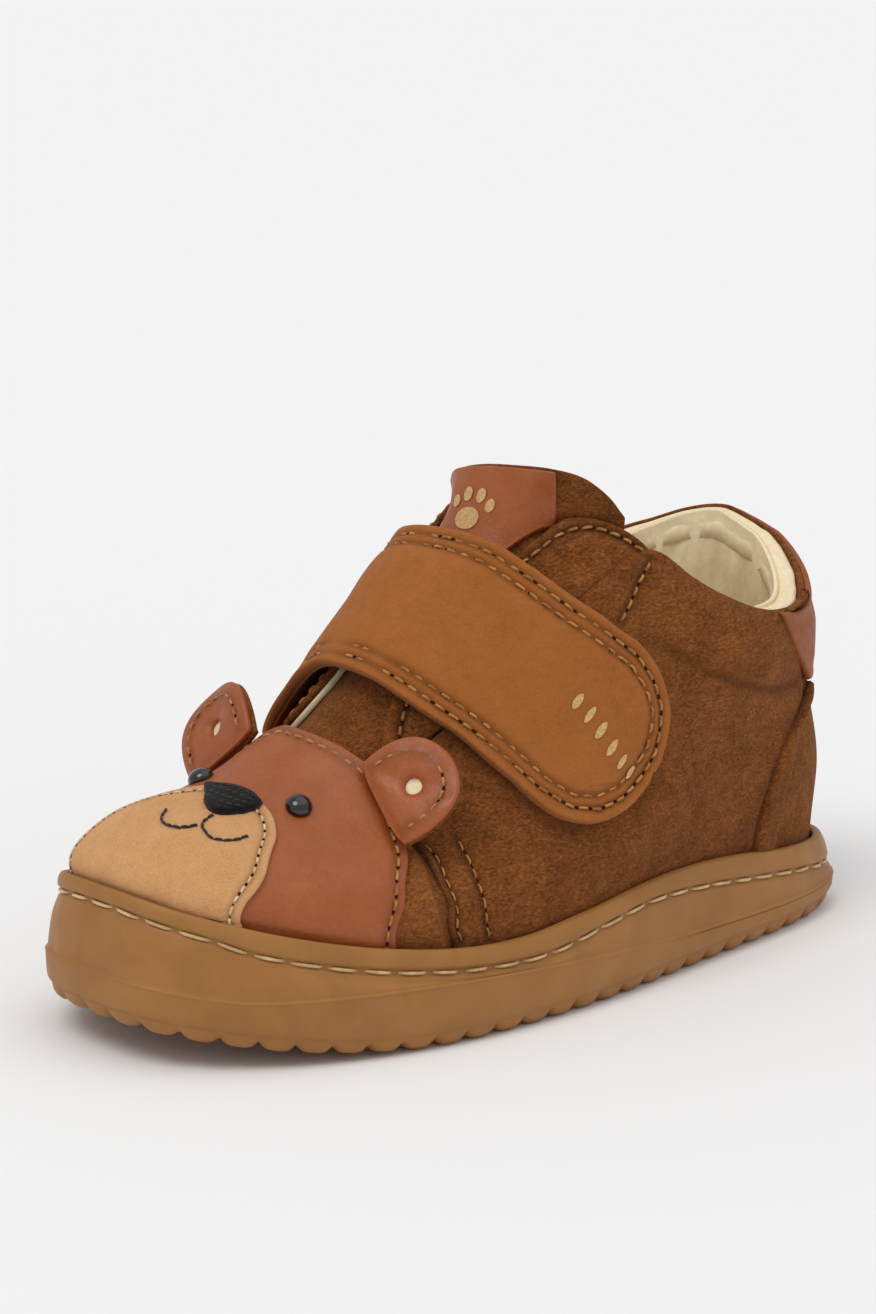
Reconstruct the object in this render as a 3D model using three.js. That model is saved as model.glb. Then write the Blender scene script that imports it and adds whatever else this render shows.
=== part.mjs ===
// Toddler's first-walker shoe (left foot) with a hook-and-loop strap and an animal face on the toe.
// Millimetres, +Z up, toe towards -Y, heel towards +Y, outer (lateral) side towards +X.
// The origin lies under the middle of the sole, on the ground.
import * as THREE from 'three';

// ---------------------------------------------------------------- driving dimensions
const LENGTH = 140;            // length of the upper's footprint, heel to toe
const WIDTH_SCALE = 1;         // all widths of the footprint and the last
const TOE_SPRING = 5.8;        // rise of the tread under the toe tip
const SOLE_BULGE = 4.2;        // how far the sole wall stands out of the footprint
const OUTSOLE_FLOOR = 4.2;     // thickness of the outsole under the foot
const CUP_FLOOR = 3.0;         // thickness of the cup sole's floor
const BOARD = 1.5;             // thickness of the insole board
const FOOTBED = 3.0;           // thickness of the footbed
const SUEDE = 1.1;             // thickness of the suede panels
const STIFFENER = 1.3;         // toe puff and heel counter
const COLLAR_PAD = 2.6;        // foam in the collar
const LINING = 0.8;            // lining leather
const CAP = 1.0;               // smooth leather of the cap and the collar band
const MUZZLE = 0.8;            // nubuck of the muzzle
const STRAP = 0.9;             // each of the strap's two layers
const STRAP_LIFT = 1.7;        // height of the strap's underside over the quarter
const TAPE = 0.5;              // hook tape, and the loop patch under it
const TONGUE_FOAM = 2.4;       // padding of the tongue
const TONGUE_PATCH = 0.8;      // leather patch on the tongue
const EYE_RADIUS = 2.1;        // bead eyes
const EAR_HEIGHT = 12.5;       // ear, from its seam to its tip
const EAR_LAYER = 0.9;         // each of the ear's two layers
const EAR_HOLE = 1.3;          // radius of the punched hole in the ear
const EAR_TILT = { lateral: 36, medial: 50 };   // degrees between a resting ear and the toe
const THREAD = 0.35;           // radius of the sewn threads
const GAP = 0.3;               // clearance between touching pieces
const STATIONS = 60;           // points around the sole

const COLORS = {
  gum: 0x9e6e3e, thread: 0xd2b27c, board: 0xb39a78, lining: 0xe0cba6, suede: 0x78462a,
  vamp: 0x8b552f, leather: 0xa4633f, heel: 0x9d694d, muzzle: 0xc99767, black: 0x141212,
  strap: 0x9c5f32, foam: 0xd8d0c0, stiffener: 0xcfc4ae, tape: 0x4a3020,
};

// ---------------------------------------------------------------- interpolation
// A cubic Hermite curve through rows [x, y...], with centred slopes.
function curve(rows) {
  const n = rows.length;
  const slopes = rows.map((row, i) => {
    const a = rows[Math.max(i - 1, 0)];
    const b = rows[Math.min(i + 1, n - 1)];
    return row.map((_, k) => (b[k] - a[k]) / (b[0] - a[0]));
  });
  return (x) => {
    const c = Math.min(Math.max(x, rows[0][0]), rows[n - 1][0]);
    let i = 0;
    while (i < n - 2 && c > rows[i + 1][0]) i += 1;
    const h = rows[i + 1][0] - rows[i][0];
    const s = (c - rows[i][0]) / h;
    const value = (k) => (2 * s ** 3 - 3 * s * s + 1) * rows[i][k]
      + (s ** 3 - 2 * s * s + s) * h * slopes[i][k]
      + (3 * s * s - 2 * s ** 3) * rows[i + 1][k] + (s ** 3 - s * s) * h * slopes[i + 1][k];
    return rows[0].length === 2 ? value(1) : rows[0].slice(1).map((_, k) => value(k + 1));
  };
}

// A curve through [t, v] points, run from 0 to 1.
function path(points) {
  const at = curve(points.map((p, i) => [i / (points.length - 1), ...p]));
  return (a) => at(a);
}

const clamp = (x, lo, hi) => Math.min(Math.max(x, lo), hi);
const smooth = (x) => clamp(x, 0, 1) ** 2 * (3 - 2 * clamp(x, 0, 1));
const mirror = (points) => points.map(([t, v]) => [360 - t, v]);

// ---------------------------------------------------------------- the last
// Points of the last are named by t, the angle round the foot (0 heel, 90 outer side, 180 toe,
// 270 inner side), and v, the way up (0 at the sole's edge, 1 at the topline, below 0 in the sole).
const frontLine = curve([[0, -67.5, 25.5], [.11, -67.6, 29], [.22, -61.5, 33], [.33, -52, 35],
  [.44, -43, 37.5], [.55, -33, 43], [.66, -22, 51], [.78, -11.5, 60.7], [.9, -2.5, 69], [1, 3, 73.5]]);
const backLine = curve([[0, 70, 11.5], [.15, 71.3, 19], [.3, 71.5, 27], [.45, 70.6, 35],
  [.6, 69.2, 43], [.75, 68, 50.5], [.88, 67.6, 56.5], [1, 68, 61.5]]);
const outerWidth = curve([[0, 22.7], [.25, 23.8], [.5, 28.8], [.7, 31], [.86, 29.8], [1, 26.5]]);
const innerWidth = curve([[0, 23], [.25, 23.7], [.5, 23.2], [.7, 28.8], [.86, 30], [1, 27.4]]);
const topWidth = curve([[0, 22.8], [.25, 22], [.5, 19], [.75, 17.8], [1, 16.4]]);
const edgeHalf = [[0, 11.5], [20, 12], [40, 13.4], [60, 16], [75, 16.7], [90, 15.3], [100, 14.3],
  [110, 14.7], [124, 17], [140, 20.5], [155, 23.7], [170, 26], [180, 26.6]];
const soleEdge = curve([...edgeHalf, ...mirror(edgeHalf).reverse().slice(1)]);
const topline = curve([[0, 61.5], [15, 57.5], [32, 54], [50, 53], [70, 55], [85, 58.7], [95, 62.2],
  [105, 67], [118, 72.3], [130, 74.3], [150, 74], [180, 73.5], [210, 74], [230, 74.3], [242, 72.8],
  [255, 68.5], [270, 63.5], [288, 60.5], [308, 61.5], [325, 63.5], [340, 64.2], [350, 63],
  [360, 61.5]]);
const TOE_DOME = 5;            // how far the toe box falls away to its sides
const RIM_DEPTH = 1.0;         // the upper's edge below the sole's rim
const MARGIN = 0.2;            // the part of v that lies inside the sole
const lengthwise = (y) => y * LENGTH / 140;

const along = (t) => (1 - Math.cos(THREE.MathUtils.degToRad(t))) / 2;
const spring = (f) => TOE_SPRING * clamp((f - .68) / .32, 0, 1) ** 2;
const floorTop = (t) => OUTSOLE_FLOOR + GAP + CUP_FLOOR + spring(along(t));

function last(tDegrees, v) {
  const t = ((tDegrees % 360) + 360) % 360;
  const up = Math.max(v, 0);
  const f = along(t);
  const s = Math.sin(THREE.MathUtils.degToRad(t));
  const [frontY, frontZ] = frontLine(up);
  const [backY, backZ] = backLine(up);
  const k = up ** 1.6;
  const foot = s >= 0 ? outerWidth(f) : innerWidth(f);
  const w = foot * (1 - k) + topWidth(f) * k + 1.2 * Math.sin(Math.PI * clamp(up * 2, 0, 1));
  const x = Math.sign(s) * w * WIDTH_SCALE * Math.abs(s) ** (.62 + .25 * up);
  const y = lengthwise(backY + (frontY - backY) * f);
  let z = backZ + (frontZ - backZ) * f;
  z += (soleEdge(t) - (11.5 + 14 * f) - RIM_DEPTH) * (1 - up);
  z += (topline(t) - (61.5 + 12 * f)) * up * up;
  z -= TOE_DOME * f ** 3 * Math.sin(Math.PI * clamp((up - .03) / .82, 0, 1))
    * (1 - Math.exp(-((s / .5) ** 2)));
  const point = new THREE.Vector3(x, y, z);
  if (v < 0) point.z = THREE.MathUtils.lerp(z, floorTop(t) + GAP, -v / MARGIN);
  return point;
}

function lastNormal(t, v) {
  const step = .12;
  const across = last(t + step, v).sub(last(t - step, v));
  const low = Math.max(v - .002, 0);
  const rise = last(t, low + .004).sub(last(t, low));
  const normal = rise.cross(across).normalize();
  if (v >= .02) return normal;
  const flat = new THREE.Vector3(normal.x, normal.y, 0).normalize();
  return flat.lerp(normal, smooth(v / .02)).normalize();
}

const offset = (t, v, d) => last(t, v).addScaledVector(lastNormal(t, v), d);

// ---------------------------------------------------------------- closed bodies
const object = new THREE.Group();

function add(name, geometry, color, roughness = .8) {
  const material = new THREE.MeshStandardMaterial({ color: COLORS[color], roughness, metalness: 0 });
  const mesh = new THREE.Mesh(geometry, material);
  mesh.name = name;
  object.add(mesh);
  return mesh;
}

function body(points, triangles) {
  let volume = 0;
  for (const [a, b, c] of triangles) volume += points[a].dot(points[b].clone().cross(points[c]));
  const faces = volume < 0 ? triangles.map(([a, b, c]) => [a, c, b]) : triangles;
  const geometry = new THREE.BufferGeometry();
  const flat = points.flatMap((p) => [p.x, p.y, p.z]);
  geometry.setAttribute('position', new THREE.Float32BufferAttribute(flat, 3));
  geometry.setIndex(faces.flat());
  geometry.computeVertexNormals();
  return geometry;
}

// A sheet given by outer and inner grids of points [column][row], closed round its edge.
function sheet(outer, inner) {
  const columns = outer.length;
  const rows = outer[0].length;
  const points = [...outer.flat(), ...inner.flat()];
  const id = (side, i, j) => side * columns * rows + i * rows + j;
  const triangles = [];
  const quad = (a, b, c, d) => triangles.push([a, b, c], [a, c, d]);
  for (let i = 0; i < columns - 1; i += 1) {
    for (let j = 0; j < rows - 1; j += 1) {
      quad(id(0, i, j), id(0, i + 1, j), id(0, i + 1, j + 1), id(0, i, j + 1));
      quad(id(1, i, j), id(1, i, j + 1), id(1, i + 1, j + 1), id(1, i + 1, j));
    }
    quad(id(0, i, 0), id(1, i, 0), id(1, i + 1, 0), id(0, i + 1, 0));
    quad(id(0, i, rows - 1), id(0, i + 1, rows - 1), id(1, i + 1, rows - 1), id(1, i, rows - 1));
  }
  for (let j = 0; j < rows - 1; j += 1) {
    const end = columns - 1;
    quad(id(0, 0, j), id(0, 0, j + 1), id(1, 0, j + 1), id(1, 0, j));
    quad(id(0, end, j), id(1, end, j), id(1, end, j + 1), id(0, end, j + 1));
  }
  return body(points, triangles);
}

// A panel on the last: place(a, b) gives [t, v], and it fills the offsets from low to high.
function panel(place, columns, rows, low, high) {
  const level = (d, v) => (typeof d === 'function' ? d(v) : d);
  const grid = (d) => Array.from({ length: columns + 1 }, (_, i) => (
    Array.from({ length: rows + 1 }, (_unused, j) => {
      const [t, v] = place(i / columns, j / rows);
      return offset(t, v, level(d, v));
    })));
  return sheet(grid(high), grid(low));
}

// A place function from four edges: bottom and top run along a, start and end along b.
function edges(bottom, top, start, end) {
  const [low, high, left, right] = [bottom, top, start, end].map(path);
  return (a, b) => [0, 1].map((k) => {
    const corners = (1 - a) * ((1 - b) * low(0)[k] + b * high(0)[k])
      + a * ((1 - b) * low(1)[k] + b * high(1)[k]);
    return (1 - b) * low(a)[k] + b * high(a)[k] + (1 - a) * left(b)[k] + a * right(b)[k] - corners;
  });
}

// A place function of level rows between two side edges t(v).
function levels(rows, left, right) {
  const level = curve(rows.map((v, i) => [i / (rows.length - 1), v]));
  return (a, b) => {
    const v = level(b);
    return [left(v) + (right(v) - left(v)) * a, v];
  };
}

// A place function of a band between a lower and an upper edge.
function band(lower, upper) {
  const [low, high] = [path(lower), path(upper)];
  return (a, b) => [0, 1].map((k) => low(a)[k] * (1 - b) + high(a)[k] * b);
}

// The same place function with one more row of cells below it, down inside the sole.
function lasted(place, rows) {
  const share = 1 / rows;
  return (a, b) => (b < share ? [place(a, 0)[0], -MARGIN * (1 - b / share)]
    : place(a, (b - share) / (1 - share)));
}

// Rings of the sole joined in turn; the first and last are closed by strips across the sole.
function stack(rings) {
  const n = rings[0].length;
  const triangles = [];
  const id = (ring, i) => ring * n + (i % n);
  for (let r = 0; r < rings.length - 1; r += 1) {
    for (let i = 0; i < n; i += 1) {
      triangles.push([id(r, i), id(r, i + 1), id(r + 1, i + 1)]);
      triangles.push([id(r, i), id(r + 1, i + 1), id(r + 1, i)]);
    }
  }
  const close = (ring, flip) => {
    for (let i = 0; i < n / 2; i += 1) {
      const [a, b, c, d] = [id(ring, i), id(ring, i + 1), id(ring, n - i - 1), id(ring, n - i)];
      const pair = i === 0 ? [[a, b, c]] : i === n / 2 - 1 ? [[a, b, d]] : [[a, b, c], [a, c, d]];
      triangles.push(...(flip ? pair.map(([p, q, s]) => [p, s, q]) : pair));
    }
  };
  close(0, true);
  close(rings.length - 1, false);
  return body(rings.flat(), triangles);
}

// A round thread through the given points, closed into a loop or with flat ends.
function thread(points, radius, sides, looped) {
  const way = new THREE.CatmullRomCurve3(points, looped);
  const steps = looped ? points.length : (points.length - 1) * 3;
  const frames = way.computeFrenetFrames(steps, looped);
  const rings = Array.from({ length: steps + (looped ? 0 : 1) }, (_, i) => (
    Array.from({ length: sides }, (_unused, j) => {
      const angle = 2 * Math.PI * j / sides;
      return way.getPointAt(i / steps)
        .addScaledVector(frames.normals[i], radius * Math.cos(angle))
        .addScaledVector(frames.binormals[i], radius * Math.sin(angle));
    })));
  const triangles = [];
  const count = rings.length;
  for (let i = 0; i < (looped ? count : count - 1); i += 1) {
    for (let j = 0; j < sides; j += 1) {
      const [a, b] = [i * sides + j, i * sides + (j + 1) % sides];
      const [c, d] = [a, b].map((k) => (k + sides) % (count * sides));
      triangles.push([a, b, d], [a, d, c]);
    }
  }
  if (!looped) {
    for (let j = 1; j < sides - 1; j += 1) {
      triangles.push([0, j + 1, j]);
      const end = (count - 1) * sides;
      triangles.push([end, end + j, end + j + 1]);
    }
  }
  return body(rings.flat(), triangles);
}

// ---------------------------------------------------------------- sole unit
const SOLE_SHARES = [0, .25, .5, .7, .86, 1];
const solePlan = [[22.7, 23.6, 28.6, 31.3, 30.8, 27.7], [23, 23.5, 23, 29, 31, 28.6]]
  .map((widths) => curve(widths.map((w, i) => [SOLE_SHARES[i], w * WIDTH_SCALE])));
const SOLE_SQUARENESS = .62;
const ridgeHalf = [[0, 5], [60, 6], [112, 10.2], [146, 11.1], [158, 12.2], [167, 13.1], [180, 13.7]];
const ridge = curve([...ridgeHalf, ...mirror(ridgeHalf).reverse().slice(1)]);
const grooveHalf = [[0, 7], [21, 7.5], [44, 10], [55, 11.4], [65, 12.8], [77, 13.8], [87, 12.6],
  [98, 10.8], [112, 11.5], [128, 14.1], [146, 18], [156, 20.7], [170, 23], [180, 23.7]];
const groove = curve([...grooveHalf, ...mirror(grooveHalf).reverse().slice(1)]);

function footprint(t) {
  const s = Math.sin(THREE.MathUtils.degToRad(t));
  const half = solePlan[s >= 0 ? 0 : 1](along(t));
  return new THREE.Vector3(Math.sign(s) * Math.abs(s) ** SOLE_SQUARENESS * half,
    LENGTH * (.5 - along(t)), 0);
}

// Stations bunch up where the footprint turns sharply, at the heel and the toe.
const stationAngles = Array.from({ length: STATIONS }, (_, i) => {
  const turn = 360 * i / STATIONS;
  return turn - 9 * Math.sin(2 * THREE.MathUtils.degToRad(turn));
});

// A ring round the sole, a distance outside the footprint, at the height z(t).
function soleRing(out, z) {
  return stationAngles.map((t) => {
    const tangent = footprint(t + .5).sub(footprint(t - .5));
    const outward = new THREE.Vector3(-tangent.y, tangent.x, 0).normalize();
    const here = footprint(t);
    if (outward.dot(here) < 0) outward.negate();
    return here.addScaledVector(outward, out).setZ(z(t));
  });
}

const tread = (t) => spring(along(t));
const mix = (low, high, share) => (t) => low(t) + (high(t) - low(t)) * share;
const lift = (z, by) => (t) => z(t) + by;
const RIM_IN = .6;             // inner face of the sole's rim, outside the footprint
const SEAT_OUT = -3;           // where the cup sole's floor starts, inside the footprint

function makeSole() {
  add('outsole', stack([
    soleRing(-.8, tread),
    soleRing(SOLE_BULGE * .45, lift(tread, 1.4)),
    soleRing(SOLE_BULGE * .9, mix(tread, ridge, .5)),
    soleRing(SOLE_BULGE, mix(tread, ridge, .85)),
    soleRing(SOLE_BULGE - .2, ridge),
    soleRing(SEAT_OUT, lift(tread, OUTSOLE_FLOOR)),
  ]), 'gum', .6);
  const seat = lift(tread, OUTSOLE_FLOOR + GAP);
  add('cup_sole', stack([
    soleRing(SEAT_OUT, seat),
    soleRing(SOLE_BULGE - .8, lift(ridge, GAP)),
    soleRing(SOLE_BULGE - .5, mix(ridge, groove, .25)),
    soleRing(SOLE_BULGE - .4, mix(ridge, groove, .5)),
    soleRing(SOLE_BULGE - .7, lift(groove, -1)),
    soleRing(SOLE_BULGE - 1.7, groove),
    soleRing(SOLE_BULGE - 1.1, lift(groove, 1)),
    soleRing(SOLE_BULGE - 2, lift(soleEdge, -.5)),
    soleRing(SOLE_BULGE - 2.7, soleEdge),
    soleRing(RIM_IN, lift(soleEdge, -.3)),
    soleRing(RIM_IN, floorTop),
  ]), 'gum', .6);
  const stitchLine = soleRing(SOLE_BULGE - 1.7 + THREAD + GAP * 1.3, groove);
  add('sidewall_thread', thread(stitchLine, THREAD, 5, true), 'thread');
}

// A plate inside the upper, d inside the last's edge, between two heights over the cup's floor.
function innerPlate(d, low, high) {
  const ring = (height) => stationAngles.map((t) => offset(t, 0, d).setZ(floorTop(t) + height));
  return stack([ring(low), ring(high)]);
}

const LINING_FACE = SUEDE + GAP + STIFFENER + GAP + LINING;

function makeInsoles() {
  add('insole_board', innerPlate(-LINING_FACE - GAP, GAP, GAP + BOARD), 'board');
  const seat = GAP + BOARD + GAP;
  add('footbed', innerPlate(-LINING_FACE - 2 * GAP, seat, seat + FOOTBED), 'lining');
}

// ---------------------------------------------------------------- toe
const TOE_ROWS = [-MARGIN, -.1, 0, .04, .08, .12, .16, .2, .26, .33, .41, .48, .55];
const vampEdge = curve([[-MARGIN, 114], [0, 114], [.05, 114.5], [.15, 116.5], [.22, 120.5],
  [.33, 128], [.41, 135], [.48, 142], [.55, 150]]);
const otherVampEdge = (v) => 360 - vampEdge(v);
const capOuterEdge = curve([[-.03, 123.5], [.14, 123.5], [.2, 125], [.336, 131.5], [.45, 140],
  [.51, 147.5], [.548, 156], [.56, 166]]);
const capInnerEdge = curve([[-.03, 225], [.1, 226.5], [.15, 226.5], [.264, 223.5], [.368, 217],
  [.436, 211], [.492, 203.5], [.54, 192], [.56, 184]]);
const muzzleOuterEdge = curve([[-.03, 150.5], [.064, 150.5], [.184, 150], [.292, 156], [.344, 161],
  [.372, 165.5], [.388, 171]]);
const muzzleInnerEdge = curve([[-.03, 197], [.1, 196], [.2, 194], [.26, 192], [.308, 189],
  [.344, 184.5], [.372, 181], [.388, 178]]);
const stiffSide = curve([[-MARGIN, 122], [.2, 128], [.42, 142]]);

function makeToe() {
  const inside = -SUEDE - GAP;
  const puffRows = TOE_ROWS.filter((v) => v < .42);
  const liningRows = TOE_ROWS.filter((v) => v < .46);
  const rowPanel = (rows, left, right, columns, low, high) => (
    panel(levels(rows, left, right), columns, rows.length - 1, low, high));
  add('vamp', rowPanel(TOE_ROWS, vampEdge, otherVampEdge, 14, -SUEDE, 0), 'vamp', .95);
  add('toe_puff', rowPanel(puffRows, stiffSide, (v) => 360 - stiffSide(v), 12,
    inside - STIFFENER, inside), 'stiffener');
  add('vamp_lining', rowPanel(liningRows, vampEdge, otherVampEdge, 14,
    -LINING_FACE, -LINING_FACE + LINING), 'lining', .7);
  const capRows = [-.03, 0, .04, .08, .12, .16, .2, .26, .33, .41, .48, .53, .56];
  add('face_cap', rowPanel(capRows, capOuterEdge, capInnerEdge, 14, GAP, GAP + CAP), 'leather', .45);
  const muzzleRows = [-.03, 0, .04, .08, .12, .16, .2, .26, .33, .37, .388];
  const base = 2 * GAP + CAP;
  add('muzzle', rowPanel(muzzleRows, muzzleOuterEdge, muzzleInnerEdge, 8, base, base + MUZZLE),
    'muzzle', .9);
}

// ---------------------------------------------------------------- face on the toe
const FACE_TOP = 2 * GAP + CAP + MUZZLE;      // outer face of the muzzle
const EYES = { eye_lateral: [162, .422], eye_medial: [190, .40] };

function makeFace() {
  const felt = edges([[177.5, .312], [174.5, .298], [171.5, .3], [168.5, .33]],
    [[181, .362], [177.5, .382], [172.5, .388], [168, .376]],
    [[177.5, .312], [179.5, .338], [181, .362]], [[168.5, .33], [167.6, .354], [168, .376]]);
  add('nose', panel(felt, 6, 4, FACE_TOP + GAP, FACE_TOP + GAP + .8), 'black', .9);
  const sewn = (points) => points.map(([t, v]) => offset(t, v, FACE_TOP + GAP + THREAD));
  add('mouth_thread_lateral', thread(sewn([[172.6, .285], [171.2, .26], [169, .244], [166.5, .236],
    [163.5, .244], [161.7, .262], [161.5, .28]]), THREAD, 6, false), 'black');
  add('mouth_thread_medial', thread(sewn([[172.3, .247], [174, .228], [177, .224], [179, .236],
    [180, .256]]), THREAD, 6, false), 'black');
  for (const [name, [t, v]] of Object.entries(EYES)) {
    const profile = [[0, 0], [EYE_RADIUS, 0], [EYE_RADIUS * .97, .5], [EYE_RADIUS * .7, 1.4],
      [EYE_RADIUS * .35, 1.8], [0, 1.95]].map(([x, y]) => new THREE.Vector2(x, y));
    const eye = add(name, new THREE.LatheGeometry(profile, 14), 'black', .1);
    eye.position.copy(offset(t, v, GAP + CAP + GAP + .1));
    eye.quaternion.setFromUnitVectors(new THREE.Vector3(0, 1, 0), lastNormal(t, v));
  }
}

// ---------------------------------------------------------------- ears
const EAR_SEAMS = { lateral: [[156, .54], [133, .35]], medial: [[194, .533], [217, .37]] };
const EAR_STAND = GAP + CAP + 1.2;

// The ear's frame: x along its seam, y towards its tip, z out of its front face.
function earFrame(side) {
  const [high, low] = EAR_SEAMS[side].map(([t, v]) => offset(t, v, EAR_STAND));
  const [t, v] = [0, 1].map((k) => (EAR_SEAMS[side][0][k] + EAR_SEAMS[side][1][k]) / 2);
  const seam = low.clone().sub(high).normalize();
  const normal = lastNormal(t, v);
  normal.addScaledVector(seam, -normal.dot(seam)).normalize();
  const back = normal.clone().cross(seam);
  if (back.y < 0) back.negate();
  const tilt = THREE.MathUtils.degToRad(EAR_TILT[side]);
  const rise = back.clone().multiplyScalar(Math.cos(tilt)).addScaledVector(normal, Math.sin(tilt));
  const sideways = seam.clone();
  if (side === 'medial') sideways.negate();
  const front = sideways.clone().cross(rise);
  return { high, low, middle: high.clone().add(low).multiplyScalar(.5), sideways, rise, front };
}

function earOutline(half, height) {
  const shape = new THREE.Shape();
  shape.moveTo(half, 0);
  shape.bezierCurveTo(half * 1.2, height * .75, half * .62, height, 0, height);
  shape.bezierCurveTo(-half * .62, height, -half * 1.2, height * .75, -half, 0);
  return shape;
}

function makeEars() {
  for (const side of ['lateral', 'medial']) {
    const frame = earFrame(side);
    const half = frame.high.distanceTo(frame.low) / 2;
    const basis = new THREE.Matrix4().makeBasis(frame.sideways, frame.rise, frame.front);
    const outline = earOutline(half, EAR_HEIGHT);
    const pierced = earOutline(half, EAR_HEIGHT);
    const rim = Array.from({ length: 16 }, (_, i) => -2 * Math.PI * i / 16);
    pierced.holes.push(new THREE.Path(rim.map((angle) => new THREE.Vector2(
      EAR_HOLE * Math.cos(angle), EAR_HEIGHT * .42 + EAR_HOLE * Math.sin(angle)))));
    const outerToCamera = frame.front.dot(lastNormal(...EAR_SEAMS[side][0])) > 0;
    const layers = { front: [pierced, GAP / 2, 'leather'], back: [outline, -GAP / 2 - EAR_LAYER, 'suede'] };
    for (const [layer, [shape, depth, color]] of Object.entries(layers)) {
      const geometry = new THREE.ExtrudeGeometry(shape,
        { depth: EAR_LAYER, bevelEnabled: false, curveSegments: 10 });
      const ear = add(`ear_${side}_${layer}`, geometry, color, layer === 'front' ? .5 : .95);
      ear.quaternion.setFromRotationMatrix(basis);
      const out = outerToCamera ? depth : -depth - EAR_LAYER;
      ear.position.copy(frame.middle).addScaledVector(frame.front, out);
    }
  }
}

// ---------------------------------------------------------------- quarters and heel
const SIDES = { lateral: (points) => points, medial: mirror };
const CREASE = [[150.5, .565], [139, .66], [128, .76], [117, .87], [107, .985]];
const SEAM_LOW = 48.5;         // angle of the heel seam at the sole
const HEEL_SEAM = [[SEAM_LOW, 0], [SEAM_LOW, .2], [44.5, .41], [28, .55]];
const BUTT = 1.2;              // degrees between panels that meet edge to edge
const COLLAR_LOW = .7;         // v where the collar's padding starts
const COLLAR_END = 104;        // angle where the padding stops, behind the facings

const liningOut = (v) => -SUEDE - 2 * GAP - STIFFENER
  - (COLLAR_PAD - STIFFENER) * smooth((v - COLLAR_LOW + .1) / .1);
const liningIn = (v) => liningOut(v) - LINING;

function makeQuarters() {
  const rear = [...HEEL_SEAM, [10, .62], [2, .72], [1, .86], [1, .995]];
  const front = [[114 - BUTT, 0], [116 - BUTT, .14], [120 - BUTT, .22],
    [128 - BUTT, .33], [135 - BUTT, .41], [142 - BUTT, .48], [149, .555]];
  const bottom = [[SEAM_LOW, 0], [70, 0], [92, 0], [114 - BUTT, 0]];
  const top = [[1, .995], [30, 1], [60, 1], [85, 1], [105, .99], [116, .87], [127, .76], [138, .66],
    [149, .555]];
  for (const [side, place] of Object.entries(SIDES)) {
    const shape = lasted(edges(place(bottom), place(top), place(rear), place(front)), 9);
    add(`quarter_${side}`, panel(shape, 18, 9, -SUEDE, 0), 'suede', .95);
    const weltLow = place([[SEAM_LOW + 1.5, .07], [45.5, .41], [30, .54]]);
    const weltHigh = place([[SEAM_LOW - 4.5, .07], [40, .41], [24, .55]]);
    add(`heel_welt_${side}`, panel(band(weltLow, weltHigh), 8, 1, GAP, GAP + .9), 'suede', .95);
  }
  const across = (points) => [...mirror(points).map(([t, v]) => [t - 360, v])];
  const rightEdge = HEEL_SEAM.map(([t, v]) => [t - BUTT, v]);
  const heelShape = edges(
    [[-SEAM_LOW + BUTT, 0], [-20, 0], [20, 0], [SEAM_LOW - BUTT, 0]],
    [[-28 + BUTT, .55], [-10, .6], [0, .607], [10, .6], [28 - BUTT, .55]],
    across(rightEdge), rightEdge);
  add('heel_panel', panel(lasted(heelShape, 7), 12, 7, -SUEDE, 0), 'suede', .95);
  const bandSide = [[29, .575], [42, .728], [54, .876], [62, .985]];
  add('collar_band', panel(edges([[-29, .575], [-10, .56], [10, .56], [29, .575]],
    [[-62, .985], [-30, .99], [0, .99], [30, .99], [62, .985]], across(bandSide), bandSide),
  18, 6, GAP * 1.4, GAP + CAP), 'heel', .45);
  const inside = -SUEDE - GAP;
  add('heel_counter', panel(band([[-75, -.1], [-35, -.1], [0, -.1], [35, -.1], [75, -.1]],
    [[-60, .3], [-35, .48], [0, .53], [35, .48], [60, .3]]), 14, 5,
    inside - STIFFENER, inside - GAP / 2),
  'stiffener');
  add('collar_foam', panel(band(
    [[-COLLAR_END, .8], [-70, .76], [-35, .75], [0, .75], [35, .75], [70, .77], [COLLAR_END, .8]],
    [[-COLLAR_END, .96], [-70, .97], [-35, .97], [0, .97], [35, .97], [70, .97], [COLLAR_END, .96]]),
  22, 2, (v) => liningOut(v) + GAP, inside - GAP), 'foam', .9);
  const liningTop = [[104, .985], [85, .995], [60, .995], [30, .995], [0, .995]];
  const liningEdge = [...across(liningTop), ...[...liningTop].reverse().slice(1)];
  const liningSide = [[113, 0], [112, .3], [109, .6], [106, .85], [104, .985]];
  const liningShape = edges([[-113, 0], [-60, 0], [0, 0], [60, 0], [113, 0]], liningEdge,
    across(liningSide), liningSide);
  add('quarter_lining', panel(lasted(liningShape, 9), 30, 9, liningIn, liningOut), 'lining', .7);
}

// ---------------------------------------------------------------- facings
function makeFacings() {
  const rear = CREASE.map(([t, v]) => [t + 2.2, v + .004]);
  const front = [[154, .572], [158, .6], [161.5, .635], [163, .67], [160, .76], [154, .85],
    [147, .905], [140, .97]];
  const top = [[109.2, .985], [117, .988], [127, .99], [135.5, .988], [140, .97]];
  for (const [side, place] of Object.entries(SIDES)) {
    const shape = edges(place(rear), place(front), place([rear[0], front[0]]), place(top));
    add(`facing_${side}`, panel(shape, 10, 4, -SUEDE, 0), 'suede', .95);
    const inner = (a, b) => shape(a * .95, b);
    add(`facing_lining_${side}`, panel(inner, 10, 4, -SUEDE - GAP - LINING, -SUEDE - GAP),
      'lining', .7);
  }
}

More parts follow.
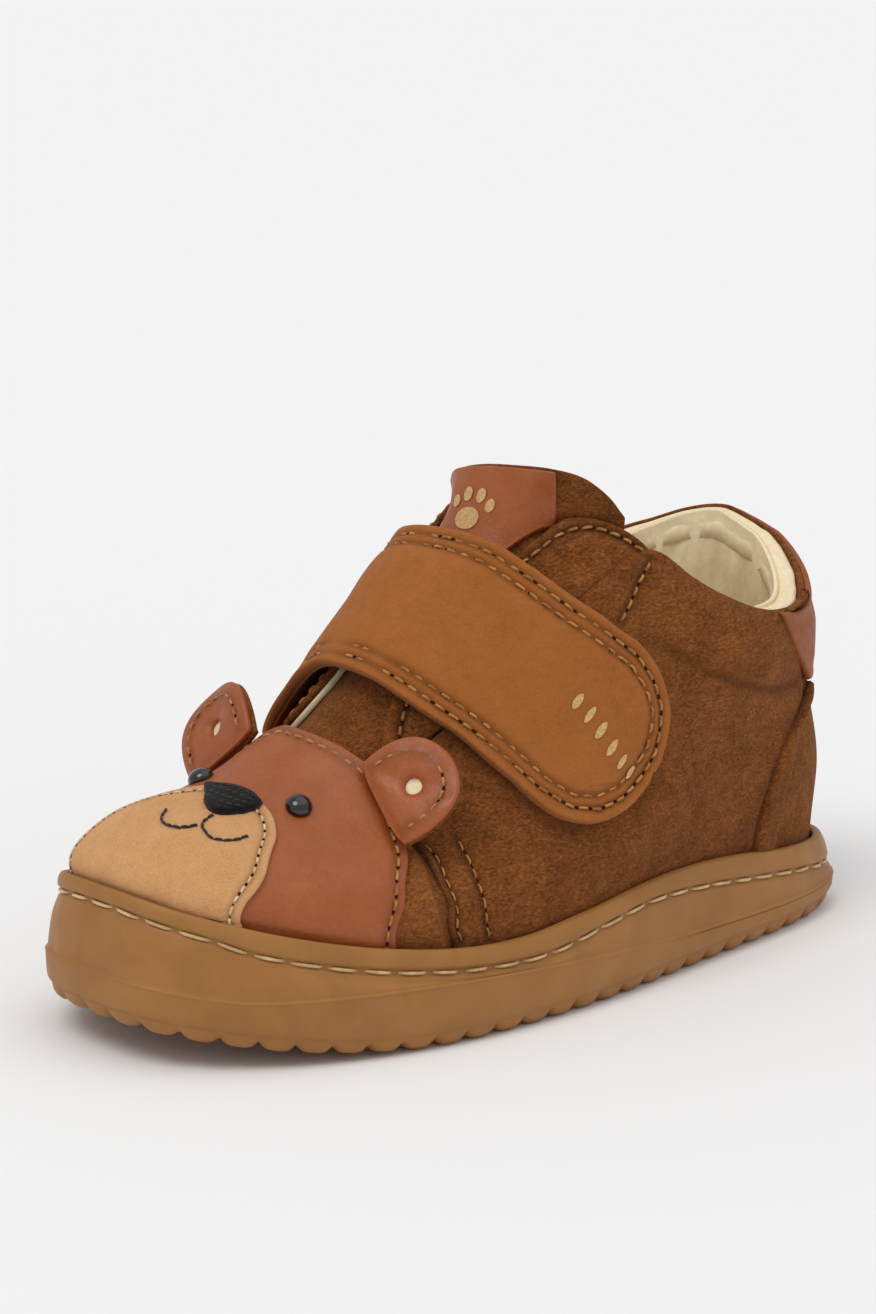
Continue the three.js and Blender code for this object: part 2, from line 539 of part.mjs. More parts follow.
// ---------------------------------------------------------------- tongue
const TONGUE_DEPTH = SUEDE + 2 * GAP + LINING;     // the tongue's outer face under the last's surface
const TONGUE_FOOT = .5;        // v of the tongue's sewn end
const TONGUE_NECK = .99;       // v where the tongue leaves the facings
const tongueReach = curve([[0, 40], [.5, 56], [1, 66]]);     // half of the angle that it spans
const tongueRim = curve([[-1, -13.5, 19.4, 71.8], [-.92, -13.5, 16, 74], [-.8, -13.5, 12, 75.6],
  [-.62, -12.4, 8.7, 77.4], [-.3, -7, 6.6, 79.6], [0, 0, 6, 81.2], [.3, 7, 6.6, 82],
  [.62, 13, 8.7, 82], [.8, 15.5, 13, 80.3], [.92, 16.3, 17.5, 76.8], [1, 16.2, 21, 73]]);

// A point of the tongue: s runs from edge to edge, h from its foot (0) past the neck (1) to its rim (2).
function tongue(s, h, d) {
  const low = Math.min(h, 1);
  const t = 180 - s * tongueReach(low);
  const bend = .86 + .105 * smooth((Math.abs(s) - .25) / .3);
  const start = offset(t, TONGUE_FOOT + (bend - TONGUE_FOOT) * low, d - TONGUE_DEPTH);
  if (h <= 1) return start;
  const neck = offset(t, TONGUE_NECK, d - TONGUE_DEPTH);
  const outward = lastNormal(t, TONGUE_NECK);
  outward.setZ(outward.z * .35).normalize();
  const [x, y, z] = tongueRim(s);
  const rim = new THREE.Vector3(x * WIDTH_SCALE, lengthwise(y), z).addScaledVector(outward, d);
  const k = h - 1;
  return start.multiplyScalar((1 - k) ** 2).addScaledVector(neck, 2 * k * (1 - k))
    .addScaledVector(rim, k * k);
}

function tonguePiece(name, from, to, reach, low, high, color, roughness) {
  const [columns, rows] = [16, 12];
  const grid = (d) => Array.from({ length: columns + 1 }, (_, i) => (
    Array.from({ length: rows + 1 }, (_unused, j) => (
      tongue((2 * i / columns - 1) * reach, from + (to - from) * j / rows, d)))));
  add(name, sheet(grid(high), grid(low)), color, roughness);
}

function makeTongue() {
  const foamTop = -SUEDE - GAP;
  const liningTop = foamTop - TONGUE_FOAM - GAP;
  tonguePiece('tongue_shell', 0, 2, 1, -SUEDE, 0, 'suede', .95);
  tonguePiece('tongue_foam', .05, 1.96, .95, foamTop - TONGUE_FOAM, foamTop, 'foam', .9);
  tonguePiece('tongue_lining', 0, 2, 1, liningTop - LINING, liningTop, 'lining', .7);
  tonguePiece('tongue_patch', 1.3, 1.97, .62, GAP, GAP + TONGUE_PATCH, 'leather', .45);
}

// ---------------------------------------------------------------- strap
const STRAP_LOWER = [[248, .34], [237, .43], [226, .51], [210, .605], [193, .65], [178, .658],
  [163.5, .652], [148, .628], [136.5, .596], [123, .532], [115.5, .48], [106, .412], [98.5, .376],
  [93.5, .395], [91, .46]];
const STRAP_UPPER = [[254, .585], [247, .655], [238, .725], [217, .85], [194.5, .898], [174.5, .916],
  [156, .9], [139.5, .856], [126, .816], [114.5, .788], [106, .768], [99, .724], [94, .664],
  [91.7, .6], [90.4, .53]];
const ROOT_END = 2 / 14;       // shares of the strap where its three parts meet
const TIP_START = 8 / 14;
const SPLIT = .004;            // half of the gap between the parts, as a share

function strapPart(from, to) {
  const whole = band(STRAP_LOWER, STRAP_UPPER);
  return (a, b) => whole(from + (to - from) * a, b);
}

function makeStrap() {
  const backing = STRAP_LIFT;
  const top = backing + STRAP + GAP;
  add('strap_anchor', panel(strapPart(0, ROOT_END - SPLIT), 4, 6, GAP + .1, top + STRAP), 'strap', .9);
  const parts = { strap: [ROOT_END + SPLIT, TIP_START - SPLIT, 12], strap_tip: [TIP_START + SPLIT, 1, 12] };
  for (const [name, [from, to, columns]] of Object.entries(parts)) {
    const place = strapPart(from, to);
    add(`${name}_top`, panel(place, columns, 4, top, top + STRAP), 'strap', .9);
    add(`${name}_backing`, panel(place, columns, 4, backing, backing + STRAP), 'strap', .9);
  }
  const tape = (a, b) => strapPart(.66, .93)(a, .17 + .66 * b);
  add('hook_tape', panel(tape, 10, 4, backing - GAP - TAPE, backing - GAP), 'tape', 1);
  const patch = (a, b) => strapPart(.63, .95)(a, .12 + .76 * b);
  add('loop_patch', panel(patch, 12, 5, GAP * .7, GAP * .7 + TAPE * .8), 'tape', 1);
}

makeSole();
makeInsoles();
makeToe();
makeFace();
makeEars();
makeQuarters();
makeFacings();
makeTongue();
makeStrap();

// the origin is under the middle of the whole shoe
const extent = new THREE.Box3().setFromObject(object, true);
const middle = extent.getCenter(new THREE.Vector3());
for (const piece of object.children) {
  piece.position.x -= middle.x;
  piece.position.y -= middle.y;
  piece.position.z -= extent.min.z;
}

export default object;
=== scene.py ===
"""Looks of the toddler's first-walker shoe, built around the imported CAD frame."""
import math

import bpy
import numpy as np
from mathutils import Matrix, Vector


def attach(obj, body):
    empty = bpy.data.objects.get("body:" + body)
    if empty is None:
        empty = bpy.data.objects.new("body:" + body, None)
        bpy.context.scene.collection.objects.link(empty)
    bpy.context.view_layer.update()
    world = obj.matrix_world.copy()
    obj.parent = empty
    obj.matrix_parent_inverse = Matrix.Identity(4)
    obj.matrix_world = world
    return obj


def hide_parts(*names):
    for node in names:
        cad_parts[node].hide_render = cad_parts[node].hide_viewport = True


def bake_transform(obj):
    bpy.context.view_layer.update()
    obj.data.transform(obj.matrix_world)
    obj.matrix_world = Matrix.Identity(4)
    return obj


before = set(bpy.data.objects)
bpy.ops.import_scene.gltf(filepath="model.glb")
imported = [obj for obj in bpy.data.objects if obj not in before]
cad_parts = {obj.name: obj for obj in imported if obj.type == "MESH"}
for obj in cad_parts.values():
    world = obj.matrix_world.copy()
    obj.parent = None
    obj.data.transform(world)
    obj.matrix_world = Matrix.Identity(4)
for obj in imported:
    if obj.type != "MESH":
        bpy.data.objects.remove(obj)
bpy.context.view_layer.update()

# ------------------------------------------------------------------ dimensions, in millimetres
MM = 0.001
CENTRE = np.array([-1.2613, 0.0, 0.0])     # the last's own middle, seen from the frame's origin
SUEDE, GAP, STIFFENER, LINING, CAP, MUZZLE = 1.1, .3, 1.3, .8, 1.0, .8
STRAP, STRAP_LIFT, COLLAR_PAD, TONGUE_FOAM = .9, 1.7, 2.6, 2.4
MARGIN, TOE_DOME, BULGE, OUT_FLOOR, CUP_FLOOR, SPRING = .2, 5.0, 4.2, 4.2, 3.0, 5.8
FACE_TOP = 2 * GAP + CAP + MUZZLE
CREAM, DARK = "cream_thread", "gold_thread"


def clamp(x, lo=0.0, hi=1.0):
    return np.minimum(np.maximum(x, lo), hi)


def smooth(x):
    x = clamp(x)
    return x * x * (3 - 2 * x)


def curve(rows):
    """A cubic Hermite curve through rows (x, y...), with centred slopes."""
    rows = np.array(rows, float)
    X, Y = rows[:, 0], rows[:, 1:]
    M = np.zeros_like(Y)
    M[1:-1] = (Y[2:] - Y[:-2]) / (X[2:] - X[:-2])[:, None]
    M[0] = (Y[1] - Y[0]) / (X[1] - X[0])
    M[-1] = (Y[-1] - Y[-2]) / (X[-1] - X[-2])

    def at(x):
        x = np.clip(np.asarray(x, float), X[0], X[-1])
        i = np.clip(np.searchsorted(X, x, side="right") - 1, 0, len(X) - 2)
        h = (X[i + 1] - X[i])[..., None]
        s = (x - X[i])[..., None] / h
        r = ((2 * s**3 - 3 * s * s + 1) * Y[i] + (s**3 - 2 * s * s + s) * h * M[i]
             + (3 * s * s - 2 * s**3) * Y[i + 1] + (s**3 - s * s) * h * M[i + 1])
        return r[..., 0] if r.shape[-1] == 1 else r
    return at


def path(points):
    """A curve through points, run from 0 to 1 by their number."""
    n = len(points) - 1
    return curve([[i / n, *p] for i, p in enumerate(points)])


def mirror(points):
    return [(360 - t, v) for t, v in points]


# ------------------------------------------------------------------ the last
# t is the angle round the foot (0 heel, 90 outer side, 180 toe), v the way up from the sole.
front_line = curve([(0, -67.5, 25.5), (.11, -67.6, 29), (.22, -61.5, 33), (.33, -52, 35),
                    (.44, -43, 37.5), (.55, -33, 43), (.66, -22, 51), (.78, -11.5, 60.7),
                    (.9, -2.5, 69), (1, 3, 73.5)])
back_line = curve([(0, 70, 11.5), (.15, 71.3, 19), (.3, 71.5, 27), (.45, 70.6, 35), (.6, 69.2, 43),
                   (.75, 68, 50.5), (.88, 67.6, 56.5), (1, 68, 61.5)])
outer_width = curve([(0, 22.7), (.25, 23.8), (.5, 28.8), (.7, 31), (.86, 29.8), (1, 26.5)])
inner_width = curve([(0, 23), (.25, 23.7), (.5, 23.2), (.7, 28.8), (.86, 30), (1, 27.4)])
top_width = curve([(0, 22.8), (.25, 22), (.5, 19), (.75, 17.8), (1, 16.4)])
EDGE_HALF = [(0, 11.5), (20, 12), (40, 13.4), (60, 16), (75, 16.7), (90, 15.3), (100, 14.3),
             (110, 14.7), (124, 17), (140, 20.5), (155, 23.7), (170, 26), (180, 26.6)]
sole_edge = curve(EDGE_HALF + mirror(EDGE_HALF)[::-1][1:])
topline = curve([(0, 61.5), (15, 57.5), (32, 54), (50, 53), (70, 55), (85, 58.7), (95, 62.2),
                 (105, 67), (118, 72.3), (130, 74.3), (150, 74), (180, 73.5), (210, 74),
                 (230, 74.3), (242, 72.8), (255, 68.5), (270, 63.5), (288, 60.5), (308, 61.5),
                 (325, 63.5), (340, 64.2), (350, 63), (360, 61.5)])


def along(t):
    return (1 - np.cos(np.radians(t))) / 2


def spring(f):
    return SPRING * clamp((f - .68) / .32) ** 2


def floor_top(t):
    return OUT_FLOOR + GAP + CUP_FLOOR + spring(along(t))


def last(t, v):
    t, v = np.broadcast_arrays(np.asarray(t, float) % 360, np.asarray(v, float))
    up = np.maximum(v, 0)
    f, s = along(t), np.sin(np.radians(t))
    front, back = front_line(up), back_line(up)
    k = up ** 1.6
    foot = np.where(s >= 0, outer_width(f), inner_width(f))
    w = foot * (1 - k) + top_width(f) * k + 1.2 * np.sin(np.pi * clamp(up * 2))
    x = np.sign(s) * w * np.abs(s) ** (.62 + .25 * up)
    y = back[..., 0] + (front[..., 0] - back[..., 0]) * f
    z = back[..., 1] + (front[..., 1] - back[..., 1]) * f
    z = z + (sole_edge(t) - (11.5 + 14 * f) - 1) * (1 - up) + (topline(t) - (61.5 + 12 * f)) * up * up
    z = z - TOE_DOME * f**3 * np.sin(np.pi * clamp((up - .03) / .82)) * (1 - np.exp(-(s / .5) ** 2))
    below = clamp(-v / MARGIN)
    z = z * (1 - below) + (floor_top(t) + GAP) * below
    return np.stack([x, y, z], -1)


def unit(a):
    return a / (np.linalg.norm(a, axis=-1, keepdims=True) + 1e-12)


def last_normal(t, v):
    t, v = np.broadcast_arrays(np.asarray(t, float), np.asarray(v, float))
    across = last(t + .12, v) - last(t - .12, v)
    low = np.maximum(v - .002, 0)
    n = unit(np.cross(last(t, low + .004) - last(t, low), across))
    flat = unit(n * [1, 1, 0])
    share = smooth(v / .02)[..., None]
    return unit(flat * (1 - share) + n * share)


def offset(t, v, d):
    return last(t, v) + last_normal(t, v) * np.asarray(d, float)[..., None]


# ------------------------------------------------------------------ place functions
def edges(bottom, top, start, end):
    low, high, left, right = map(path, (bottom, top, start, end))

    def place(a, b):
        a_, b_ = a[..., None], b[..., None]
        corners = ((1 - a_) * ((1 - b_) * low(0 * a) + b_ * high(0 * a))
                   + a_ * ((1 - b_) * low(0 * a + 1) + b_ * high(0 * a + 1)))
        r = (1 - b_) * low(a) + b_ * high(a) + (1 - a_) * left(b) + a_ * right(b) - corners
        return r[..., 0], r[..., 1]
    return place


def band(lower, upper):
    low, high = path(lower), path(upper)

    def place(a, b):
        r = low(a) * (1 - b)[..., None] + high(a) * b[..., None]
        return r[..., 0], r[..., 1]
    return place


def levels(v_low, v_high, left, right):
    def place(a, b):
        v = v_low + (v_high - v_low) * b
        return left(v) + (right(v) - left(v)) * a, v
    return place


def lasted(place, share=.12):
    """The same place with a strip below it, down inside the sole."""
    def deeper(a, b):
        t, v = place(a, clamp((b - share) / (1 - share)))
        return t, np.where(b < share, -MARGIN * (1 - b / share), v)
    return deeper


def part_of(place, a0, a1, b0=0.0, b1=1.0):
    return lambda a, b: place(a0 + (a1 - a0) * a, b0 + (b1 - b0) * b)


# ------------------------------------------------------------------ meshes
def new_object(name, verts, faces, material, body, replaces=()):
    """A smooth mesh, given in millimetres of the last; it rides a body and stands for CAD nodes."""
    mesh = bpy.data.meshes.new(name)
    points = (np.asarray(verts, float).reshape(-1, 3) + CENTRE) * MM
    mesh.from_pydata(points.tolist(), [], [list(map(int, f)) for f in faces])
    mesh.validate()
    mesh.update()
    mesh.polygons.foreach_set("use_smooth", [True] * len(mesh.polygons))
    obj = bpy.data.objects.new(name, mesh)
    bpy.context.scene.collection.objects.link(obj)
    obj.data.materials.append(MATERIALS[material])
    if body:
        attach(obj, body)
    if replaces:
        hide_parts(*replaces)
    return obj


def grid_faces(n, m, first=0, flip=False):
    out = []
    for i in range(n - 1):
        for j in range(m - 1):
            a, b = first + i * m + j, first + (i + 1) * m + j
            q = (a, b, b + 1, a + 1)
            out.append(q[::-1] if flip else q)
    return out


def closed_sheet(top, bottom):
    """Vertices and faces of a sheet with a top grid and a bottom grid [i][j], closed round."""
    n, m = top.shape[:2]
    size = n * m
    faces = grid_faces(n, m) + grid_faces(n, m, size, True)
    for i in range(n - 1):
        a, b = i * m, (i + 1) * m
        faces.append((a, a + size, b + size, b))
        a, b = a + m - 1, b + m - 1
        faces.append((a, b, b + size, a + size))
    for j in range(m - 1):
        faces.append((j, j + 1, j + 1 + size, j + size))
        a = (n - 1) * m + j
        faces.append((a, a + size, a + 1 + size, a + 1))
    verts = np.concatenate([top.reshape(-1, 3), bottom.reshape(-1, 3)])
    a, b, c = (verts[[f[k] for f in faces[:(n - 1) * (m - 1)]]] for k in (0, 1, 2))
    up = (top - bottom)[:-1, :-1].reshape(-1, 3)
    if (np.cross(b - a, c - a) * up).sum() < 0:
        faces = [f[::-1] for f in faces]
    return verts, faces


def steps(count, fine):
    """Parameters 0..1, close together at both ends, where the edge rounds."""
    rim = [0, .134 * fine, .5 * fine, fine, 1.9 * fine]
    inner = np.linspace(1.9 * fine, 1 - 1.9 * fine, count)[1:-1]
    return np.concatenate([rim, inner, 1 - np.array(rim[::-1])])


def arc(points, axis):
    """Distance of each grid point from the nearer end of its line along axis."""
    d = np.linalg.norm(np.diff(points, axis=axis), axis=-1)
    total = np.concatenate([np.zeros_like(np.take(d, [0], axis)), np.cumsum(d, axis)], axis)
    end = np.take(total, [-1], axis)
    return np.minimum(total, end - total)


def rounded(ea, eb, r):
    qa, qb = r - np.minimum(ea, r), r - np.minimum(eb, r)
    return r - np.sqrt(np.maximum(r * r - qa * qa - qb * qb, 0))


def panel(name, place, low, high, cols, rows, material, body, radius=.45, relief=None, inward=False,
          seams=(), seam_width=.95, replaces=()):
    """A leather panel on the last between the offsets low and high, with rounded edges.
    Its finished face looks outward, or into the shoe when it is an inward one."""
    a0, b0 = np.meshgrid(np.linspace(0, 1, 9), np.linspace(0, 1, 9), indexing="ij")
    rough = last(*place(a0, b0))
    width = np.linalg.norm(np.diff(rough[:, 4], axis=0), axis=-1).sum()
    height = np.linalg.norm(np.diff(rough[4], axis=0), axis=-1).sum()
    A, B = steps(cols, min(radius / width, .04)), steps(rows, min(radius / height, .04))
    a, b = np.meshgrid(A, B, indexing="ij")
    t, v = place(a, b)
    base, normal = last(t, v), last_normal(t, v) * (-1 if inward else 1)
    ea, eb = arc(base, 0), arc(base, 1)
    drop = rounded(ea, eb, radius)
    lower = low(t, v) if callable(low) else np.full(t.shape, float(low))
    upper = high(t, v) if callable(high) else np.full(t.shape, float(high))
    if relief is not None:
        upper = upper + relief(base + normal * upper[..., None], t, v, np.minimum(ea, eb))
    upper = np.maximum(upper - drop, lower + .08)
    top = base + normal * upper[..., None]
    bottom = base + normal * lower[..., None]
    obj = new_object(name, *closed_sheet(top, bottom), material, body, replaces)
    # painted shade near the panel's seams
    mark_seam_shade(obj, seams, seam_width)
    return obj


def mark_seam_shade(obj, seams, width=.95):
    """Marks the leather near its seams with a 'seam' value, which the materials turn into painted shade
    of the stitched grooves.
    """
    if not seams:
        return
    verts = np.empty(len(obj.data.vertices) * 3)
    obj.data.vertices.foreach_get("co", verts)
    near = nearest(verts.reshape(-1, 3) / MM - CENTRE, np.concatenate([P[::2] for P, _ in seams]))
    # the 'seam' value drives painted shade in the leather and nap materials
    marks = obj.data.attributes.new("seam", "FLOAT", "POINT")
    marks.data.foreach_set("value", np.exp(-(near / width) ** 2).astype(np.float32))


# ------------------------------------------------------------------ seams

def sample(points, count=600):
    at = path(points)
    r = at(np.linspace(0, 1, count))
    return r[:, 0], r[:, 1]


def seam_line(points, d):
    """Points and normals of a seam that runs through (t, v) points at height d."""
    t, v = sample(points)
    return offset(t, v, np.full(t.shape, float(d))), last_normal(t, v)


def resample(P, N, spacing):
    s = np.concatenate([[0], np.cumsum(np.linalg.norm(np.diff(P, axis=0), axis=1))])
    n = max(int(s[-1] / spacing), 2)
    q = np.linspace(0, s[-1], n + 1)
    pick = lambda A: np.stack([np.interp(q, s, A[:, k]) for k in range(3)], -1)
    return pick(P), unit(pick(N)), s[-1] / n


def stitches(name, lines, material, body, pitch=2.2, share=.74, radius=.2, rise=.12, seed=1,
             holes=True, replaces=()):
    """Separate sewn stitches along lines of (points, normals), with small dark cones between them as
    painted shade of the needle holes.
    """
    rng = np.random.default_rng(seed)
    verts, faces = [], []
    sides, rings = 6, 7
    for P, N in lines:
        fine_P, fine_N, step = resample(P, N, pitch / 8)
        s_total = step * (len(fine_P) - 1)
        count = max(int(round(s_total / pitch)), 1)
        q = np.arange(len(fine_P)) * step
        for k in range(count):
            centre = (k + .5) * s_total / count
            half = pitch * share / 2 * (1 + .06 * rng.standard_normal())
            skew = rng.normal(0, .05)
            u = np.linspace(-1, 1, rings)
            at = centre + u * half
            C = np.stack([np.interp(at, q, fine_P[:, i]) for i in range(3)], -1)
            M = unit(np.stack([np.interp(at, q, fine_N[:, i]) for i in range(3)], -1))
            T = unit(np.gradient(C, axis=0))
            S = unit(np.cross(M, T))
            r = radius * np.sqrt(np.maximum(1 - .55 * np.abs(u) ** 4, .2))
            lift = rise - (rise + radius * 1.15) * np.abs(u) ** 4
            C = C + M * lift[:, None] + S * (skew * u)[:, None]
            first = len(verts)
            for i in range(rings):
                for j in range(sides):
                    w = 2 * math.pi * j / sides
                    verts.append(C[i] + r[i] * (S[i] * math.cos(w) + M[i] * math.sin(w)))
            for i in range(rings - 1):
                for j in range(sides):
                    p, n_ = first + i * sides + j, first + i * sides + (j + 1) % sides
                    faces.append((p, n_, n_ + sides, p + sides))
            faces.append(tuple(first + j for j in range(sides))[::-1])
            last_ring = first + (rings - 1) * sides
            faces.append(tuple(last_ring + j for j in range(sides)))
    # dark cones at each needle hole: painted shade of the holes
    if holes:
        pits, pit_faces = [], []
        for P, N in lines:
            C, M, step = resample(P, N, pitch)
            T = unit(np.gradient(C, axis=0))
            S = unit(np.cross(M, T))
            for i in range(1, len(C) - 1):
                first = len(pits)
                along, across = T[i] * pitch * .17, S[i] * radius * 1.15
                pits += [C[i] + M[i] * rise] + [
                    C[i] + along * math.cos(w) + across * math.sin(w) - M[i] * .02
                    for w in np.arange(8) * math.pi / 4]
                pit_faces += [(first, first + 1 + j, first + 1 + (j + 1) % 8) for j in range(8)]
        if pits:
            pit = new_object(name + "_holes", pits, pit_faces, "needle_hole_shade", body)
            if body is None:
                return new_object(name, verts, faces, material, body), pit
    return new_object(name, verts, faces, material, body, replaces)


def nearest(P, line):
    """Distance from each point of P to a dense line of points."""
    flat = P.reshape(-1, 3)
    out = np.empty(len(flat))
    for i in range(0, len(flat), 4000):
        d = flat[i:i + 4000, None] - line[None]
        out[i:i + 4000] = np.sqrt((d * d).sum(-1).min(1))
    return out.reshape(P.shape[:-1])


def pinch(lines, depth=.28, width=.75):
    """Relief that draws the leather down along seams."""
    dense = np.concatenate([P[::2] for P, _ in lines])
    return lambda P: -depth * np.exp(-(nearest(P, dense) / width) ** 2)


def wobble(P, size, seed, octaves=3):
    """Smooth pseudo-random values near -1..1 from sums of sines, the same on each run."""
    rng = np.random.default_rng(seed)
    out = np.zeros(P.shape[:-1])
    weight = 0
    for k in range(octaves):
        for _ in range(4):
            direction = rng.standard_normal(3)
            direction *= 2 * math.pi / (size / 1.9 ** k) / np.linalg.norm(direction)
            out += .6 ** k * np.sin(P @ direction + rng.uniform(0, 6.28))
        weight += .6 ** k * 2
    return out / weight


# ------------------------------------------------------------------ materials
MATERIALS, SLOTS = {}, {}


def srgb(r, g, b):
    c = np.array([r, g, b]) / 255
    return [*np.where(c <= .04045, c / 12.92, ((c + .055) / 1.055) ** 2.4), 1]


def material(name, slot, roughness, **sockets):
    m = bpy.data.materials.new(name)
    m.use_nodes = True
    shader = m.node_tree.nodes["Principled BSDF"]
    shader.inputs["Roughness"].default_value = roughness
    for key, value in sockets.items():
        shader.inputs[key.replace("_", " ")].default_value = value
    MATERIALS[name], SLOTS[name] = m, slot
    return m.node_tree, shader


def node(tree, kind, **settings):
    n = tree.nodes.new(kind)
    for key, value in settings.items():
        if key in n.inputs:
            n.inputs[key].default_value = value
        else:
            setattr(n, key, value)
    return n


def coordinates(tree, stretch=(1, 1, 1)):
    where = node(tree, "ShaderNodeTexCoord")
    scale = node(tree, "ShaderNodeMapping")
    scale.inputs["Scale"].default_value = [1000 * s for s in stretch]
    tree.links.new(where.outputs["Object"], scale.inputs["Vector"])
    return scale.outputs["Vector"]


def noise(tree, vector, size, detail=4, rough=.55, distortion=0.0):
    n = node(tree, "ShaderNodeTexNoise", Scale=1 / size, Detail=detail, Roughness=rough,
             Distortion=distortion)
    tree.links.new(vector, n.inputs["Vector"])
    return n.outputs["Fac"]


def ramp(tree, value, stops):
    n = node(tree, "ShaderNodeValToRGB")
    n.color_ramp.interpolation = "EASE"
    while len(n.color_ramp.elements) < len(stops):
        n.color_ramp.elements.new(.5)
    for element, (position, colour) in zip(n.color_ramp.elements, stops):
        element.position, element.color = position, colour
    tree.links.new(value, n.inputs["Fac"])
    return n.outputs["Color"]


def mix(tree, factor, a, b, kind="MIX"):
    n = node(tree, "ShaderNodeMix", data_type="RGBA", blend_type=kind)
    for socket, value in ((n.inputs["Factor"], factor), (n.inputs["A"], a), (n.inputs["B"], b)):
        if isinstance(value, (int, float)) or isinstance(value, (list, tuple)):
            socket.default_value = value
        else:
            tree.links.new(value, socket)
    return n.outputs["Result"]


def math_node(tree, kind, a, b):
    n = node(tree, "ShaderNodeMath", operation=kind)
    for socket, value in ((n.inputs[0], a), (n.inputs[1], b)):
        if isinstance(value, (int, float)):
            socket.default_value = value
        else:
            tree.links.new(value, socket)
    return n.outputs[0]


# mixes the colour towards a dark copy where the mesh's 'seam' value is high: painted shade along the
# stitched grooves
def seam_shade(tree, colour, dark, share=.75):
    mark = node(tree, "ShaderNodeAttribute", attribute_name="seam")
    return mix(tree, math_node(tree, "MULTIPLY", mark.outputs["Fac"], share), colour, dark)


def bump(tree, shader, height, strength, distance):
    n = node(tree, "ShaderNodeBump", Strength=strength, Distance=distance * MM)
    tree.links.new(height, n.inputs["Height"])
    tree.links.new(n.outputs["Normal"], shader.inputs["Normal"])


def nap_material(name, slot, dark, middle, light, fibre=.35, patch=9.0, sheen=.35, tint=(1, .8, .6, 1),
                 strength=.55, contrast=1.0):
    """Suede or nubuck: brushed patches, mottling and short fibres."""
    tree, shader = material(name, slot, .95, Sheen_Weight=sheen, Sheen_Roughness=.45,
                               Sheen_Tint=tint, Specular_IOR_Level=.12)
    at = coordinates(tree)
    leaned = coordinates(tree, (1, .55, 1.25))
    broad = noise(tree, at, patch, 3, .6, .6)
    mottle = noise(tree, leaned, 1.9, 5, .68, .3)
    fine = noise(tree, leaned, fibre, 4, .7)
    value = math_node(tree, "MULTIPLY", broad, .18)
    value = math_node(tree, "ADD", value, math_node(tree, "MULTIPLY", mottle, .24))
    value = math_node(tree, "ADD", value, math_node(tree, "MULTIPLY", fine, .58))
    spread = .11 / contrast
    colour = ramp(tree, value, [(.5 - spread, dark), (.5, middle), (.5 + spread * 1.1, light)])
    # painted shade along the seams, at .45 of the dark nap colour
    colour = seam_shade(tree, colour, [c * .45 for c in dark[:3]] + [1])
    tree.links.new(colour, shader.inputs["Base Color"])
    height = math_node(tree, "ADD", math_node(tree, "MULTIPLY", mottle, .5), fine)
    bump(tree, shader, height, strength, .28)


def leather_material(name, slot, dark, light, roughness=.42, grain=.7, strength=.6, coat=.12,
                     crease=True):
    """Smooth leather: fine pebbled grain, soft creases and slight shade changes."""
    tree, shader = material(name, slot, roughness, Coat_Weight=coat, Coat_Roughness=.3,
                               Specular_IOR_Level=.45)
    at = coordinates(tree)
    cells = node(tree, "ShaderNodeTexVoronoi", Scale=1 / grain, feature="SMOOTH_F1",
                 Smoothness=.6)
    warp = noise(tree, at, 1.6, 2, .5)
    tree.links.new(at, cells.inputs["Vector"])
    broad = noise(tree, at, 8, 4, .6, .8)
    pores = noise(tree, at, .32, 3, .6)
    colour = ramp(tree, broad, [(.15, dark), (.85, light)])
    tint = ramp(tree, cells.outputs["Distance"], [(.0, [1, 1, 1, 1]), (.9, [.86, .83, .8, 1])])
    colour = mix(tree, .6, colour, mix(tree, 1.0, colour, tint, "MULTIPLY"))
    # painted shade along the seams, at .5 of the dark leather colour
    colour = seam_shade(tree, colour, [c * .5 for c in dark[:3]] + [1], .6)
    tree.links.new(colour, shader.inputs["Base Color"])
    height = math_node(tree, "SUBTRACT", math_node(tree, "MULTIPLY", pores, .25),
                       math_node(tree, "MULTIPLY", cells.outputs["Distance"], .6))
    if crease:
        lines = noise(tree, coordinates(tree, (1.6, .5, 1)), 2.6, 3, .55, 1.2)
        height = math_node(tree, "ADD", height, math_node(tree, "MULTIPLY", lines, .55))
    rough = ramp(tree, warp, [(.3, [roughness - .05] * 3 + [1]), (.7, [roughness + .1] * 3 + [1])])
    tree.links.new(rough, shader.inputs["Roughness"])
    bump(tree, shader, height, strength, .16)


def thread_material(name, slot, dark, light):
    tree, shader = material(name, slot, .6, Sheen_Weight=.25, Specular_IOR_Level=.35)
    at = coordinates(tree)
    twist = node(tree, "ShaderNodeTexWave", Scale=1.6, Distortion=1.2, bands_direction="DIAGONAL")
    tree.links.new(at, twist.inputs["Vector"])
    tree.links.new(ramp(tree, noise(tree, at, 2.2, 2), [(.35, dark), (.65, light)]),
                   shader.inputs["Base Color"])
    bump(tree, shader, twist.outputs["Fac"], .5, .12)


